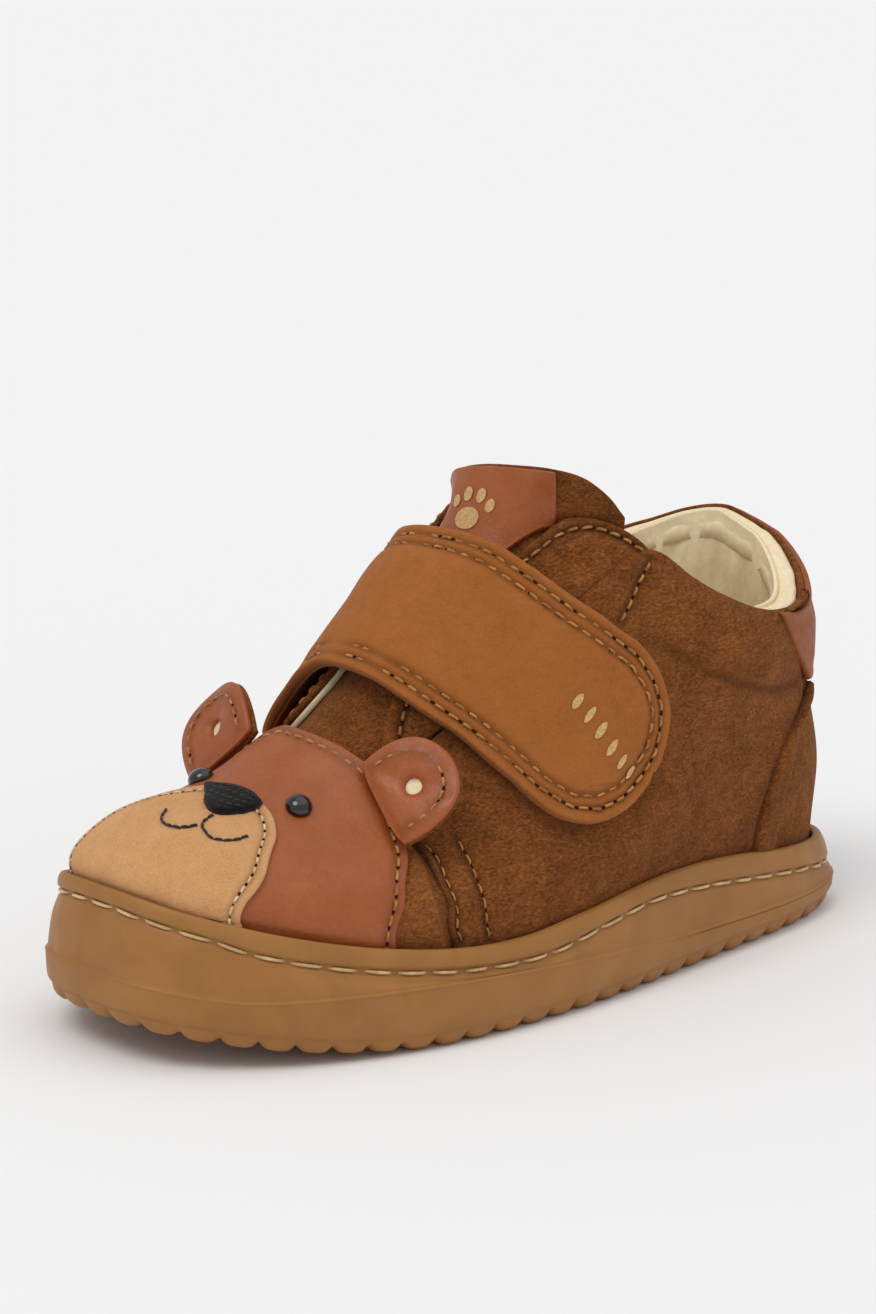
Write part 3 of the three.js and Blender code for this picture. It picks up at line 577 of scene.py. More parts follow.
def make_materials():
    nap_material("suede", "suede", srgb(92, 50, 19), srgb(122, 70, 30), srgb(150, 90, 44),
                 sheen=.14, tint=(1, .6, .35, 1), contrast=1.2, fibre=.42, strength=.9)
    nap_material("vamp_suede", "vamp", srgb(108, 60, 25), srgb(136, 80, 37), srgb(162, 101, 53),
                 sheen=.14, tint=(1, .6, .35, 1), contrast=1.2, fibre=.42, strength=.9)
    nap_material("nubuck", "strap", srgb(144, 82, 36), srgb(160, 96, 46), srgb(174, 108, 56),
                 fibre=.22, patch=14, sheen=.12, tint=(1, .75, .5, 1), strength=.28, contrast=.8)
    nap_material("muzzle_nubuck", "muzzle", srgb(190, 138, 88), srgb(206, 154, 104),
                 srgb(216, 168, 120), fibre=.25, patch=6, sheen=.1, tint=(1, .85, .7, 1),
                 strength=.35, contrast=.9)
    leather_material("cap_leather", "leather", srgb(154, 78, 30), srgb(168, 89, 38), .45, coat=.05)
    leather_material("heel_leather", "heel", srgb(144, 76, 34), srgb(156, 86, 40), .6,
                     strength=.4, coat=0.0)
    leather_material("lining_leather", "lining", srgb(244, 222, 180), srgb(250, 234, 198), .5,
                     grain=.9, strength=.25, coat=0.0)
    thread_material("gold_thread", "thread", srgb(150, 94, 28), srgb(196, 134, 50))
    thread_material("cream_thread", "thread", srgb(214, 184, 138), srgb(236, 212, 172))
    thread_material("sole_thread", "thread", srgb(198, 164, 112), srgb(222, 192, 142))
    # dark brown cones in the needle holes: painted shade of the holes
    tree, shader = material("needle_hole_shade", "thread", 1.0, Specular_IOR_Level=0.0)
    tree.links.new(ramp(tree, noise(tree, coordinates(tree), .5, 2),
                        [(.3, srgb(44, 22, 8)), (.7, srgb(62, 32, 12))]), shader.inputs["Base Color"])
    thread_material("black_thread", "black", srgb(16, 13, 12), srgb(34, 29, 27))
    nap_material("felt", "black", srgb(12, 10, 9), srgb(24, 21, 20), srgb(44, 39, 36), fibre=.3,
                 patch=2, sheen=.2, tint=(.8, .75, .7, 1), strength=.8)
    tree, shader = material("bead", "bead", .06, Coat_Weight=.6, Coat_Roughness=.03)
    at = coordinates(tree)
    tree.links.new(ramp(tree, noise(tree, at, 1.5), [(.3, srgb(6, 5, 5)), (.7, srgb(14, 12, 12))]),
                   shader.inputs["Base Color"])
    tree, shader = material("gum", "gum", .55, Specular_IOR_Level=.35)
    at = coordinates(tree)
    cloud = noise(tree, at, 14, 4, .6, .5)
    tree.links.new(ramp(tree, cloud, [(.3, srgb(152, 102, 48)), (.7, srgb(164, 113, 56))]),
                   shader.inputs["Base Color"])
    fine = noise(tree, at, .45, 4, .6)
    tree.links.new(ramp(tree, noise(tree, at, 5, 3), [(.3, [.42] * 3 + [1]), (.7, [.58] * 3 + [1])]),
                   shader.inputs["Roughness"])
    bump(tree, shader, fine, .18, .1)
    tree, shader = material("foil", "thread", .35, Metallic=.35, Specular_IOR_Level=.6)
    at = coordinates(tree)
    tree.links.new(ramp(tree, noise(tree, at, .4, 3),
                        [(.35, srgb(196, 152, 92)), (.65, srgb(224, 184, 124))]),
                   shader.inputs["Base Color"])
    for name, slot, a, b, rough in (("stiffener", "stiffener", (196, 186, 164), (212, 203, 182), .7),
                                    ("board", "board", (168, 142, 106), (188, 162, 124), .85),
                                    ("foam", "foam", (212, 204, 188), (224, 217, 202), .95),
                                    ("tape", "tape", (60, 36, 20), (88, 56, 34), .95)):
        tree, shader = material(name, slot, rough, Specular_IOR_Level=.25)
        at = coordinates(tree)
        tree.links.new(ramp(tree, noise(tree, at, 1.2, 4), [(.35, srgb(*a)), (.65, srgb(*b))]),
                       shader.inputs["Base Color"])
        bump(tree, shader, noise(tree, at, .4, 4, .7), .7, .25)


make_materials()

# ------------------------------------------------------------------ sole
SOLE_SHARES = [0, .25, .5, .7, .86, 1]
plan_outer = curve(list(zip(SOLE_SHARES, [22.7, 23.6, 28.6, 31.3, 30.8, 27.7])))
plan_inner = curve(list(zip(SOLE_SHARES, [23, 23.5, 23, 29, 31, 28.6])))
RIDGE_HALF = [(0, 5), (60, 6), (112, 10.2), (146, 11.1), (158, 12.2), (167, 13.1), (180, 13.7)]
ridge = curve(RIDGE_HALF + mirror(RIDGE_HALF)[::-1][1:])
GROOVE_HALF = [(0, 7), (21, 7.5), (44, 10), (55, 11.4), (65, 12.8), (77, 13.8), (87, 12.6),
               (98, 10.8), (112, 11.5), (128, 14.1), (146, 18), (156, 20.7), (170, 23), (180, 23.7)]
groove = curve(GROOVE_HALF + mirror(GROOVE_HALF)[::-1][1:])


def footprint(t):
    f, s = along(t), np.sin(np.radians(t))
    half = np.where(s >= 0, plan_outer(f), plan_inner(f))
    return np.stack([np.sign(s) * np.abs(s) ** .62 * half, 140 * (.5 - f)], -1)


def round_the_sole(count):
    """Angles evenly spaced round the footprint, their points, outward directions and arc."""
    t = np.linspace(0, 360, 3601)
    P = footprint(t)
    s = np.concatenate([[0], np.cumsum(np.linalg.norm(np.diff(P, axis=0), axis=1))])
    even = np.interp(np.arange(count) / count * s[-1], s, t)
    tangent = footprint(even + .6) - footprint(even - .6)
    for _ in range(6):
        tangent = (np.roll(tangent, 1, 0) + tangent + np.roll(tangent, -1, 0)) / 3
    out = unit(np.stack([-tangent[:, 1], tangent[:, 0]], -1))
    points = footprint(even)
    out *= np.sign((out * points).sum(1, keepdims=True))
    return even, points, out, s[-1]


def make_sole():
    count = 720
    t, P, out, length = round_the_sole(count)
    low, edge, crease, channel = spring(along(t)), sole_edge(t), ridge(t), groove(t)
    lobes = round(length / 5.6)
    phase = np.arange(count) / count * lobes * 2 * math.pi
    lobe = 1 - np.abs((phase / math.pi) % 2 - 1) ** 3.4      # 1 on a lobe, 0 in a notch
    ring = lambda d, z: np.concatenate([P + out * np.broadcast_to(d, t.shape)[:, None],
                                        np.broadcast_to(z, t.shape)[:, None]], 1)
    blend = lambda a, b, k: a + (b - a) * k
    rings = [ring(-16, low + 2.2), ring(-9, low + 2.0), ring(-6.4, low + 1.9),
             ring(-6.0, low + 1.2 - 1.2 * lobe), ring(-2.4, low + 1.15 - 1.15 * lobe),
             ring(BULGE * .3 - .5 + .5 * lobe, low + 1.2 - 1.15 * lobe),
             ring(BULGE * .52 - .6 + .65 * lobe, low + 1.35 - 1.05 * lobe),
             ring(BULGE * .68 - .55 + .6 * lobe, low + 1.7 - .8 * lobe),
             ring(BULGE * .76 - .4 + .45 * lobe, low + 2.1 - .55 * lobe),
             ring(BULGE * .8 - .2 + .2 * lobe, low + 2.45 - .25 * lobe),
             ring(BULGE * .8, low + 2.75), ring(BULGE * .88, low + 2.95),
             ring(BULGE * .94, blend(low + 2.9, crease, .1))]
    for k, d in ((.22, .965), (.4, .98), (.6, .992), (.8, 1.0), (.92, 1.0)):
        rings.append(ring(BULGE * d, blend(low + 2.9, crease, k)))
    lean = 1.1 * smooth((along(t) - .5) / .4)              # the wall leans in round the toe
    side = curve([(0, BULGE - .1), (.1, BULGE - .25), (.3, BULGE - .3), (.6, BULGE - .35),
                  (.85, BULGE - .55), (.95, BULGE - .8)])
    top = channel - 1.0
    rings += [ring(BULGE - .02, crease - .3), ring(BULGE + .1, crease - .08),
              ring(BULGE - .06, crease + .12), ring(BULGE - .4, crease + .3)]
    for k in np.linspace(.1, 1, 8):
        rings.append(ring(side(k) - .12 - lean * k ** 1.5, blend(crease + .3, top, k)))
    rings += [ring(BULGE - 1.0 - lean, channel - .72), ring(BULGE - 1.45 - lean, channel - .4),
              ring(BULGE - 1.62 - lean, channel), ring(BULGE - 1.4 - lean, channel + .45),
              ring(BULGE - .98 - lean, channel + .78), ring(BULGE - .92 - lean, channel + 1.15)]
    for k, d in ((.3, 1.15), (.55, 1.4), (.78, 1.75), (.92, 2.0), (1.0, 2.2)):
        rings.append(ring(BULGE - d - lean * (1 - k * .6), blend(channel + 1.15, edge - .12, k)))
    rings += [ring(1.25, edge - .04), ring(.95, edge - .1), ring(.66, edge - .4),
              ring(.6, edge - 1.0), ring(.6, floor_top(t) + 2.4), ring(.6, floor_top(t)),
              ring(-4, floor_top(t)), ring(-12, floor_top(t))]
    stack = np.stack(rings)
    n = len(rings)
    faces = []
    for r in range(n - 1):
        for i in range(count):
            j = (i + 1) % count
            faces.append((r * count + i, r * count + j, (r + 1) * count + j, (r + 1) * count + i))
    for r, flip in ((0, True), (n - 1, False)):
        for i in range(count // 2):
            q = [r * count + k % count for k in (i, i + 1, count - i - 1, count - i)]
            q = q[:3] if i == 0 else (q[:2] + q[3:] if i == count // 2 - 1 else q)
            faces.append(tuple(q[::-1] if flip else q))
    new_object("gum_sole", stack.reshape(-1, 3), faces, "gum", "shoe", ("outsole", "cup_sole"))
    # the sidewall's stitches lie in the channel
    thread_radius = .29
    line = ring(BULGE - 1.62 - lean + thread_radius * .9, channel)
    line = np.concatenate([line, line[:1]])
    normal = np.concatenate([out, np.zeros((count, 1))], 1)
    normal = np.concatenate([normal, normal[:1]])
    stitches("sidewall_stitches", [(line, normal)], "sole_thread", "shoe", pitch=6.0, share=.82,
             radius=thread_radius, rise=.12, seed=3, holes=False, replaces=("sidewall_thread",))


# ------------------------------------------------------------------ toe
vamp_edge = curve([(-MARGIN, 114), (0, 114), (.05, 114.5), (.15, 116.5), (.22, 120.5), (.33, 128),
                   (.41, 135), (.48, 142), (.55, 150)])
cap_outer = curve([(-.03, 123.5), (.14, 123.5), (.2, 125), (.336, 131.5), (.45, 140), (.51, 147.5),
                   (.548, 156), (.56, 166)])
cap_inner = curve([(-.03, 225), (.1, 226.5), (.15, 226.5), (.264, 223.5), (.368, 217), (.436, 211),
                   (.492, 203.5), (.54, 192), (.56, 184)])
muzzle_outer = curve([(-.03, 150.5), (.064, 150.5), (.184, 150), (.292, 156), (.344, 161),
                      (.372, 165.5), (.388, 171)])
muzzle_inner = curve([(-.03, 197), (.1, 196), (.2, 194), (.26, 192), (.308, 189), (.344, 184.5),
                      (.372, 181), (.388, 178)])


def outline_of(left, right, v0, v1, count=40):
    """(t, v) points up the left edge of a levels() patch, over its top and down the right one."""
    v = np.linspace(v0, v1, count)
    up = [(float(left(x)), float(x)) for x in v]
    down = [(float(right(x)), float(x)) for x in v[::-1]]
    n = max(int(abs(right(v1) - left(v1)) / 2), 2)
    over = [(float(left(v1) + (right(v1) - left(v1)) * k / n), float(v1)) for k in range(1, n)]
    return up + over + down


def inset(points, distance, d=0.0, spacing=.35):
    """A line of points on the last that runs a distance inside a (t, v) outline, to its right."""
    t, v = np.array(points).T
    P = offset(t, v, np.full(t.shape, float(d)))
    N = last_normal(t, v)
    P, N, _ = resample(P, N, spacing)
    for _ in range(3):
        P[1:-1] = (P[:-2] + P[1:-1] * 2 + P[2:]) / 4
    T = unit(np.gradient(P, axis=0))
    side = unit(np.cross(T, N))
    Q = P + side * distance
    keep = nearest(Q, P) > abs(distance) * .93
    Q, N = Q[keep], N[keep]
    for _ in range(8):
        Q[1:-1] = (Q[:-2] + Q[1:-1] * 2 + Q[2:]) / 4
    return Q, N


def make_toe():
    outside = lambda t, v: smooth((vamp_edge(v) + .6 - (180 - np.abs(t - 180))) / 1.2)
    panel("vamp_panel", levels(-MARGIN, .55, lambda v: vamp_edge(v) - 3.5,
                                      lambda v: 363.5 - vamp_edge(v)),
                 lambda t, v: -SUEDE - .55 * outside(t, v), lambda t, v: -1.2 * outside(t, v), 120, 70,
                 "vamp_suede", "shoe", relief=lambda P, t, v, e: .1 * wobble(P, 9, 5),
          replaces=("vamp",))
    cap_line = outline_of(cap_outer, cap_inner, -.03, .56)
    top = GAP + CAP
    rim = inset(cap_line, -1.6, top)
    muzzle_line = outline_of(muzzle_outer, muzzle_inner, -.03, .388)
    fold = pinch([rim], .3, .8)
    swell = lambda P, t, v, e: (fold(P) + .16 * wobble(P, 11, 7, 2) * smooth(e / 4)
                                + .25 * smooth(e / 6))
    panel("face_cap_leather", levels(-.03, .56, cap_outer, cap_inner), GAP, top, 150, 90,
          "cap_leather", "shoe", radius=.5, relief=swell, seams=[rim], replaces=("face_cap",))
    stitches("cap_stitches", [(rim[0] - rim[1] * .1, rim[1])], DARK, "shoe", 2.5, .72, .25, seed=11)
    base = 2 * GAP + CAP
    line = inset(muzzle_line, -1.8, base + MUZZLE)
    fold2 = pinch([line], .2, .6)
    panel("muzzle_nubuck", levels(-.03, .388, muzzle_outer, muzzle_inner), base,
                   base + MUZZLE, 90, 70, "muzzle_nubuck", "shoe", radius=.4,
                   relief=lambda P, t, v, e: fold2(P) + .08 * wobble(P, 8, 9) * smooth(e / 3),
                   seams=[line], seam_width=.6, replaces=("muzzle",))
    keep = line[0][:, 2] > 0
    stitches("muzzle_stitches", [(line[0][keep] - line[1][keep] * .14, line[1][keep])], CREAM, "shoe",
             1.9, .7, .21, seed=12)


# ------------------------------------------------------------------ face
def make_face():
    felt = edges([(177.5, .312), (174.5, .298), (171.5, .3), (168.5, .33)],
                 [(181, .362), (177.5, .382), (172.5, .388), (168, .376)],
                 [(177.5, .312), (179.5, .338), (181, .362)], [(168.5, .33), (167.6, .354), (168, .376)])
    high = FACE_TOP + GAP + .8
    panel("nose_felt", felt, FACE_TOP - .15, high, 40, 26, "felt", "shoe", radius=.5,
          relief=lambda P, t, v, e: .25 * smooth(e / 2.5), replaces=("nose",))
    lines = []
    for b in (.22, .42, .62, .82):
        a = np.linspace(.12, .88, 60)
        t, v = felt(a, np.full(a.shape, b))
        lines.append((offset(t, v, np.full(t.shape, high + .17)), last_normal(t, v)))
    stitches("nose_stitches", lines, "black_thread", "shoe", 1.25, .8, .16, .1, seed=21,
             holes=False)
    level = FACE_TOP + .05
    mouth = [seam_line([(172.5, .292), (172, .272), (171.2, .256), (169, .244), (166.5, .236),
                        (163.7, .243), (162, .258), (161.5, .28)], level)]
    left = [seam_line([(171.6, .25), (172.3, .24), (174, .226), (177, .222), (179, .234),
                       (180, .258)], level)]
    for side, line, seed in (("lateral", mouth, 22), ("medial", left, 23)):
        stitches("mouth_stitches_" + side, line, "black_thread", "shoe", 1.45, 1.12, .24, .16,
                 seed=seed, holes=False, replaces=("mouth_thread_" + side,))
    for name, (t, v) in {"eye_lateral": (162, .422), "eye_medial": (190, .40)}.items():
        t, v = np.array([float(t)]), np.array([float(v)])
        centre, n = offset(t, v, np.array([GAP + CAP - .1]))[0], last_normal(t, v)[0]
        side = unit(np.cross(n, [0, 0, 1.0]))
        up = np.cross(side, n)
        profile = [(1.75, 0), (2.02, .25), (2.12, .55), (2.1, .9), (1.95, 1.25), (1.7, 1.6),
                   (1.35, 1.9), (.95, 2.1), (.5, 2.22)]
        turns = 40
        verts = [centre + n * h + r * (side * math.cos(w) + up * math.sin(w))
                 for r, h in profile for w in np.arange(turns) * 2 * math.pi / turns]
        faces = []
        for i in range(len(profile) - 1):
            for j in range(turns):
                k = (j + 1) % turns
                faces.append((i * turns + j, i * turns + k, (i + 1) * turns + k, (i + 1) * turns + j))
        tip = len(verts)
        verts.append(centre + n * 2.26)
        faces += [((len(profile) - 1) * turns + j, (len(profile) - 1) * turns + (j + 1) % turns, tip)
                  for j in range(turns)]
        faces.append(tuple(range(turns))[::-1])
        new_object(name + "_bead", verts, faces, "bead", "shoe", (name,))


# ------------------------------------------------------------------ ears
EAR_SEAMS = {"lateral": [(156, .54), (133, .35)], "medial": [(194, .533), (217, .37)]}
EAR_TILT = {"lateral": 36, "medial": 50}
EAR_HEIGHT, EAR_LAYER, EAR_HOLE = 12.5, .9, 1.3


def ear_frame(side):
    (t0, v0), (t1, v1) = EAR_SEAMS[side]
    pick = lambda t, v: offset(np.array([t]), np.array([v]), np.array([GAP + CAP + 1.2]))[0]
    high, low = pick(t0, v0), pick(t1, v1)
    seam = unit(low - high)
    normal = last_normal(np.array([(t0 + t1) / 2]), np.array([(v0 + v1) / 2]))[0]
    normal = unit(normal - seam * (normal @ seam))
    back = np.cross(normal, seam)
    back = back * (1 if back[1] > 0 else -1)
    tilt = math.radians(EAR_TILT[side])
    rise = back * math.cos(tilt) + normal * math.sin(tilt)
    sideways = seam * (-1 if side == "medial" else 1)
    return (high + low) / 2, sideways, rise, np.cross(sideways, rise), np.linalg.norm(low - high) / 2


def bezier(p0, p1, p2, p3, n):
    s = np.linspace(0, 1, n)[:, None]
    p0, p1, p2, p3 = map(np.array, (p0, p1, p2, p3))
    return (1 - s) ** 3 * p0 + 3 * (1 - s) ** 2 * s * p1 + 3 * (1 - s) * s * s * p2 + s ** 3 * p3


def make_ears():
    for side in ("lateral", "medial"):
        middle, X, Y, Z, half = ear_frame(side)
        h = EAR_HEIGHT
        right = bezier((half, 0), (half * 1.2, h * .75), (half * .62, h), (0, h), 40)
        left = bezier((0, h), (-half * .62, h), (-half * 1.2, h * .75), (-half, 0), 40)[1:]
        foot = np.linspace(-half, half, 30)[1:-1]
        rim = np.concatenate([right, left, np.stack([foot, -.8 * (1 - (foot / half) ** 4)], -1)])
        hole = np.array([0, h * .42])
        angles = np.arctan2(*(rim - hole).T[::-1])
        for layer, sign, mat in (("front", 1, "cap_leather"), ("back", -1, "suede")):
            count = len(rim)
            inner = hole + EAR_HOLE * np.stack([np.cos(angles), np.sin(angles)], -1)
            grid = []
            shares = [0, .03, .08, .15, .25, .36, .48, .6, .7, .79, .86, .91, .95, .98, 1.0]
            start = inner if layer == "front" else hole + (inner - hole) * .02
            for k in shares:
                grid.append(start * (1 - k) + rim * k)
            flat = np.stack(grid)                                   # rings from hole to rim
            edge = np.linalg.norm(flat - rim[None], axis=-1)
            lip = np.linalg.norm(flat - start[None], axis=-1)
            y = flat[..., 1] / h
            cup = 1.7 * (np.abs(flat[..., 0]) / half) ** 2 * y - 1.0 * y * y
            P3 = np.concatenate([flat, np.zeros(flat.shape[:2] + (1,))], -1)
            folds = .3 * wobble(P3, 6.5, 31 + (side == "medial"), 2) * smooth(edge / 2) * smooth(y * 3)
            puff = .45 * smooth(edge / 2.2) * smooth(lip / 1.2 if layer == "front" else 1)
            drop = rounded(edge + (flat[..., 1] < .2) * 3, lip + (layer == "back") * 3, .35)
            out_face = EAR_LAYER + GAP / 2 - drop + (puff + folds) * (1 if layer == "front" else .6)
            in_face = np.full(out_face.shape, .05)
            place = lambda d: (middle + flat[..., :1] * X + flat[..., 1:] * Y
                               + (cup + sign * d)[..., None] * Z)
            outer, inside = place(out_face), place(in_face)
            m = len(shares)
            verts = np.concatenate([outer.reshape(-1, 3), inside.reshape(-1, 3)])
            faces = []
            size = m * count
            for r in range(m - 1):
                for i in range(count):
                    j = (i + 1) % count
                    q = (r * count + i, r * count + j, (r + 1) * count + j, (r + 1) * count + i)
                    faces.append(q if sign < 0 else q[::-1])
                    q = tuple(k + size for k in q)
                    faces.append(q if sign > 0 else q[::-1])
            for r, turn in ((0, 1), (m - 1, -1)):
                for i in range(count):
                    j = (i + 1) % count
                    q = (r * count + i, r * count + i + size, r * count + j + size, r * count + j)
                    faces.append(q if sign * turn < 0 else q[::-1])
            ear = new_object(f"ear_{side}_{layer}_piece", verts, faces, mat, "ear_" + side,
                             (f"ear_{side}_{layer}",))
            if layer == "front":
                # row of stitches just inside the rim, on the leather's outer face
                arch = rim[:79]
                reach = np.linalg.norm(hole - arch, axis=1)
                ring = arch + (hole - arch) * (2.2 / reach)[:, None]
                yy = ring[:, 1] / h
                cup1 = 1.7 * (np.abs(ring[:, 0]) / half) ** 2 * yy - 1.0 * yy * yy
                line = (middle + ring[:, :1] * X + ring[:, 1:] * Y
                        + (cup1 + EAR_LAYER + GAP / 2 + .42)[:, None] * Z)
                stitches(f"ear_{side}_stitches", [(line, np.tile(Z, (len(line), 1)))], DARK,
                         "ear_" + side, 2.2, .7, .22, .1, seed=33)
                # painted shade along the ear's row of stitches
                mark_seam_shade(ear, [(line, None)], .9)
                # the pale layer seen through the punched hole
                disc = [middle + hole[0] * X + hole[1] * Y + (.16 - 1.0 * .42 ** 2) * Z]
                for w in np.arange(24) * 2 * math.pi / 24:
                    q = hole + 1.7 * np.array([math.cos(w), math.sin(w)])
                    c = 1.7 * (abs(q[0]) / half) ** 2 * q[1] / h - (q[1] / h) ** 2
                    disc.append(middle + q[0] * X + q[1] * Y + (c + .3) * Z)
                fan = [(0, 1 + i, 1 + (i + 1) % 24) for i in range(24)]
                new_object(f"ear_{side}_backing", disc, fan, "lining_leather", "ear_" + side)


# ------------------------------------------------------------------ quarters and heel
CREASE = [(150.5, .565), (139, .66), (128, .76), (117, .87), (107, .985)]
SEAM_LOW = 48.5
HEEL_SEAM = [(SEAM_LOW, 0), (SEAM_LOW, .2), (44.5, .41), (28, .55)]
BUTT = 1.2
COLLAR_LOW = .7
SIDES = {"lateral": lambda p: p, "medial": mirror}


def collar_swell(t, v):
    """The padded collar stands a little proud between its lower stitch and the topline."""
    turn = np.abs((t + 180) % 360 - 180)
    low = np.interp(turn, [0, 35, 54, 67, 79, 90, 99, 105], [.60, .60, .624, .676, .724, .772, .79, .8])
    k = clamp((v - low) / (1 - low))
    return (np.sin(np.pi * k) ** .8) * smooth((106 - turn) / 8) * (v > low)


def lining_out(v):
    return -SUEDE - 2 * GAP - STIFFENER - (COLLAR_PAD - STIFFENER) * smooth((v - COLLAR_LOW + .1) / .1)


def make_quarters():
    rear = HEEL_SEAM + [(10, .62), (.6, .72), (.15, .86), (.15, .995)]
    front = [(114 - BUTT, 0), (116 - BUTT, .14), (120 - BUTT, .22), (128 - BUTT, .33),
             (135 - BUTT, .41), (142 - BUTT, .48), (149, .555)]
    bottom = [(SEAM_LOW, 0), (70, 0), (92, 0), (114 - BUTT, 0)]
    top = [(.15, .995), (30, 1), (60, 1), (85, 1), (107, .99), (118.2, .87), (129.2, .76), (140.2, .66),
           (149, .555)]
    rows = {
        "front_a": [(112.2, .03), (112.6, .06), (114.2, .148), (118, .222), (125.4, .33), (131, .39)],
        "front_b": [(107.5, .03), (107.7, .06), (108.6, .12), (110.6, .176), (115, .256), (121.5, .352),
                    (125, .40)],
        "collar": [(99, .788), (90.5, .772), (79, .724), (67, .676), (54, .624), (35.5, .596)],
        "pad_end": [(107.2, .955), (108.6, .892), (109.4, .836), (110.4, .804)],
        "lobe": [(108.5, .966), (114, .966), (122.5, .972), (127, .965), (133, .95), (139, .92)],
    }
    for side, place in SIDES.items():
        lines = {k: seam_line(place(p), 0) for k, p in rows.items()}
        pull = pinch([L for k, L in lines.items() if k != "collar"], .42, .9)
        deep = pinch([lines["collar"]], .6, 1.3)
        fore = seam_line(place(front), 0)[0]

        def relief(P, t, v, e):
            return (pull(P) + deep(P) + .95 * collar_swell(t, v)
                    + .22 * wobble(P, 16, 41, 2) * smooth(v / .1)
                    + .35 * smooth(1 - nearest(P, fore) / 3))
        shape = lasted(edges(place(bottom), place(top), place(rear), place(front)))
        panel(f"quarter_{side}_suede", shape, -SUEDE, 0.0, 200, 110, "suede", "shoe",
                        radius=.5, relief=relief,
              seams=[L for k, L in lines.items() if k != "lobe"], seam_width=.7,
              replaces=(f"quarter_{side}",))
        for part, names, radius, lift in (("front", ("front_a", "front_b"), .17, .12),
                                          ("collar", ("pad_end",), .22, -.05)):
            sewn = [(lines[k][0] + lines[k][1] * lift, lines[k][1]) for k in names]
            stitches(f"quarter_{side}_{part}_stitches", sewn, DARK, "shoe", 2.3, .7, radius, .1, seed=43)
        low = place([(SEAM_LOW + 1.5, .005), (SEAM_LOW + 1.3, .2), (45.5, .41), (30, .54)])
        high = place([(SEAM_LOW - 4.5, .005), (SEAM_LOW - 4.4, .2), (40, .41), (24, .55)])
        panel(f"heel_welt_{side}_suede", band(low, high), .05, GAP + .9, 60, 12, "suede", "shoe",
              radius=.5, relief=lambda P, t, v, e: .3 * smooth(e / 1.5) + .12 * wobble(P, 6, 45),
              replaces=(f"heel_welt_{side}",))
    heel_edge = [(t - .2, v) for t, v in HEEL_SEAM]
    across = lambda pts: [(-t, v) for t, v in pts]
    shape = edges([(.2 - SEAM_LOW, 0), (-20, 0), (20, 0), (SEAM_LOW - .2, 0)],
                  [(-27.8, .55), (-10, .6), (0, .607), (10, .6), (27.8, .55)],
                  across(heel_edge), heel_edge)
    panel("heel_suede", lasted(shape), -SUEDE, 0.0, 110, 70, "suede", "shoe", radius=.45,
          relief=lambda P, t, v, e: .18 * wobble(P, 14, 47, 2) * smooth(e / 3),
          replaces=("heel_panel",))
    side_edge = [(29, .575), (42, .728), (54, .876), (62, .985)]
    shape = edges([(-29, .575), (-10, .56), (10, .56), (29, .575)],
                  [(-62, .985), (-30, .99), (0, .99), (30, .99), (62, .985)],
                  across(side_edge), side_edge)
    rim = inset(side_edge[::-1] + [(29, .575), (10, .56), (-10, .56)] + across(side_edge), 1.3,
                GAP + CAP)
    pull = pinch([rim], .2, .6)
    panel("collar_leather", shape, .12, GAP + CAP, 130, 60, "heel_leather", "shoe", radius=.5,
          seams=[rim], replaces=("collar_band",),
          relief=lambda P, t, v, e: (.95 * collar_swell(t, v) * smooth(e / 5)
                                     + .14 * wobble(P, 9, 49, 2) * smooth(e / 3)))
    liner_top = [(104, .985), (85, .995), (60, .995), (30, .995), (0, .995)]
    liner_edge = across(liner_top) + liner_top[::-1][1:]
    liner_side = [(113, 0), (112, .3), (109, .6), (106, .85), (104, .985)]
    shape = edges([(-113, 0), (-60, 0), (0, 0), (60, 0), (113, 0)], liner_edge, across(liner_side),
                  liner_side)

    def crumple(P, t, v, e):
        turn = np.abs((t + 180) % 360 - 180)
        upright = np.sin(t * .34 + 1.1 * np.sin(v * 5) + 1.1 * np.sin(t * .13))
        upright = upright + .5 * np.sin(t * .81 + 2.0 * np.sin(v * 4) + 1)
        near = smooth((70 - turn) / 35) * smooth((v - .3) / .25) * smooth((.95 - v) / .16)
        return (.4 * upright * near + .12 * wobble(P, 7, 51, 2)) * smooth(e / 2)
    panel("collar_lining", lasted(shape), lambda t, v: -lining_out(v),
          lambda t, v: LINING - lining_out(v), 240, 110, "lining_leather", "shoe", radius=.3,
          relief=crumple, inward=True, replaces=("quarter_lining",))
    shape = band([(-104, .8), (-70, .76), (-35, .75), (0, .75), (35, .75), (70, .77), (104, .8)],
                 [(-104, .96), (-70, .97), (-35, .97), (0, .97), (35, .97), (70, .97), (104, .96)])
    padding = panel("collar_padding", shape, lambda t, v: lining_out(v) + GAP, -SUEDE - GAP, 120, 20,
                    "foam", "shoe", radius=.9, replaces=("collar_foam",))
    make_rim()


def make_rim():
    """The lining's folded top edge, rolled over the padding round the opening."""
    turns = np.linspace(-103.5, 103.5, 260)
    v = np.interp(np.abs(turns), [0, 85, 103.5], [.985, .985, .97])
    P, N = last(turns, v), last_normal(turns, v)
    up = unit(last(turns, v) - last(turns, v - .02))
    section = [(-1.2, -1.4), (-1.2, -.3), (-1.4, .1), (-2.1, .3), (-3.1, .2), (-4.1, -.25),
               (-4.8, -1.0), (-5.15, -2.2), (-5.2, -4.4), (-4.6, -4.6), (-4.2, -1.6)]
    grid = np.stack([P + N * d + up * h for d, h in section], 1)
    soft = .12 * wobble(grid, 6, 53, 2)
    grid = grid + N[:, None] * soft[..., None]
    n, m = grid.shape[:2]
    faces = []
    for i in range(n - 1):
        for j in range(m):
            k = (j + 1) % m
            faces.append((i * m + j, i * m + k, (i + 1) * m + k, (i + 1) * m + j))
    faces.append(tuple(range(m))[::-1])
    faces.append(tuple((n - 1) * m + j for j in range(m)))
    new_object("collar_rim", grid.reshape(-1, 3), faces, "lining_leather", "shoe")


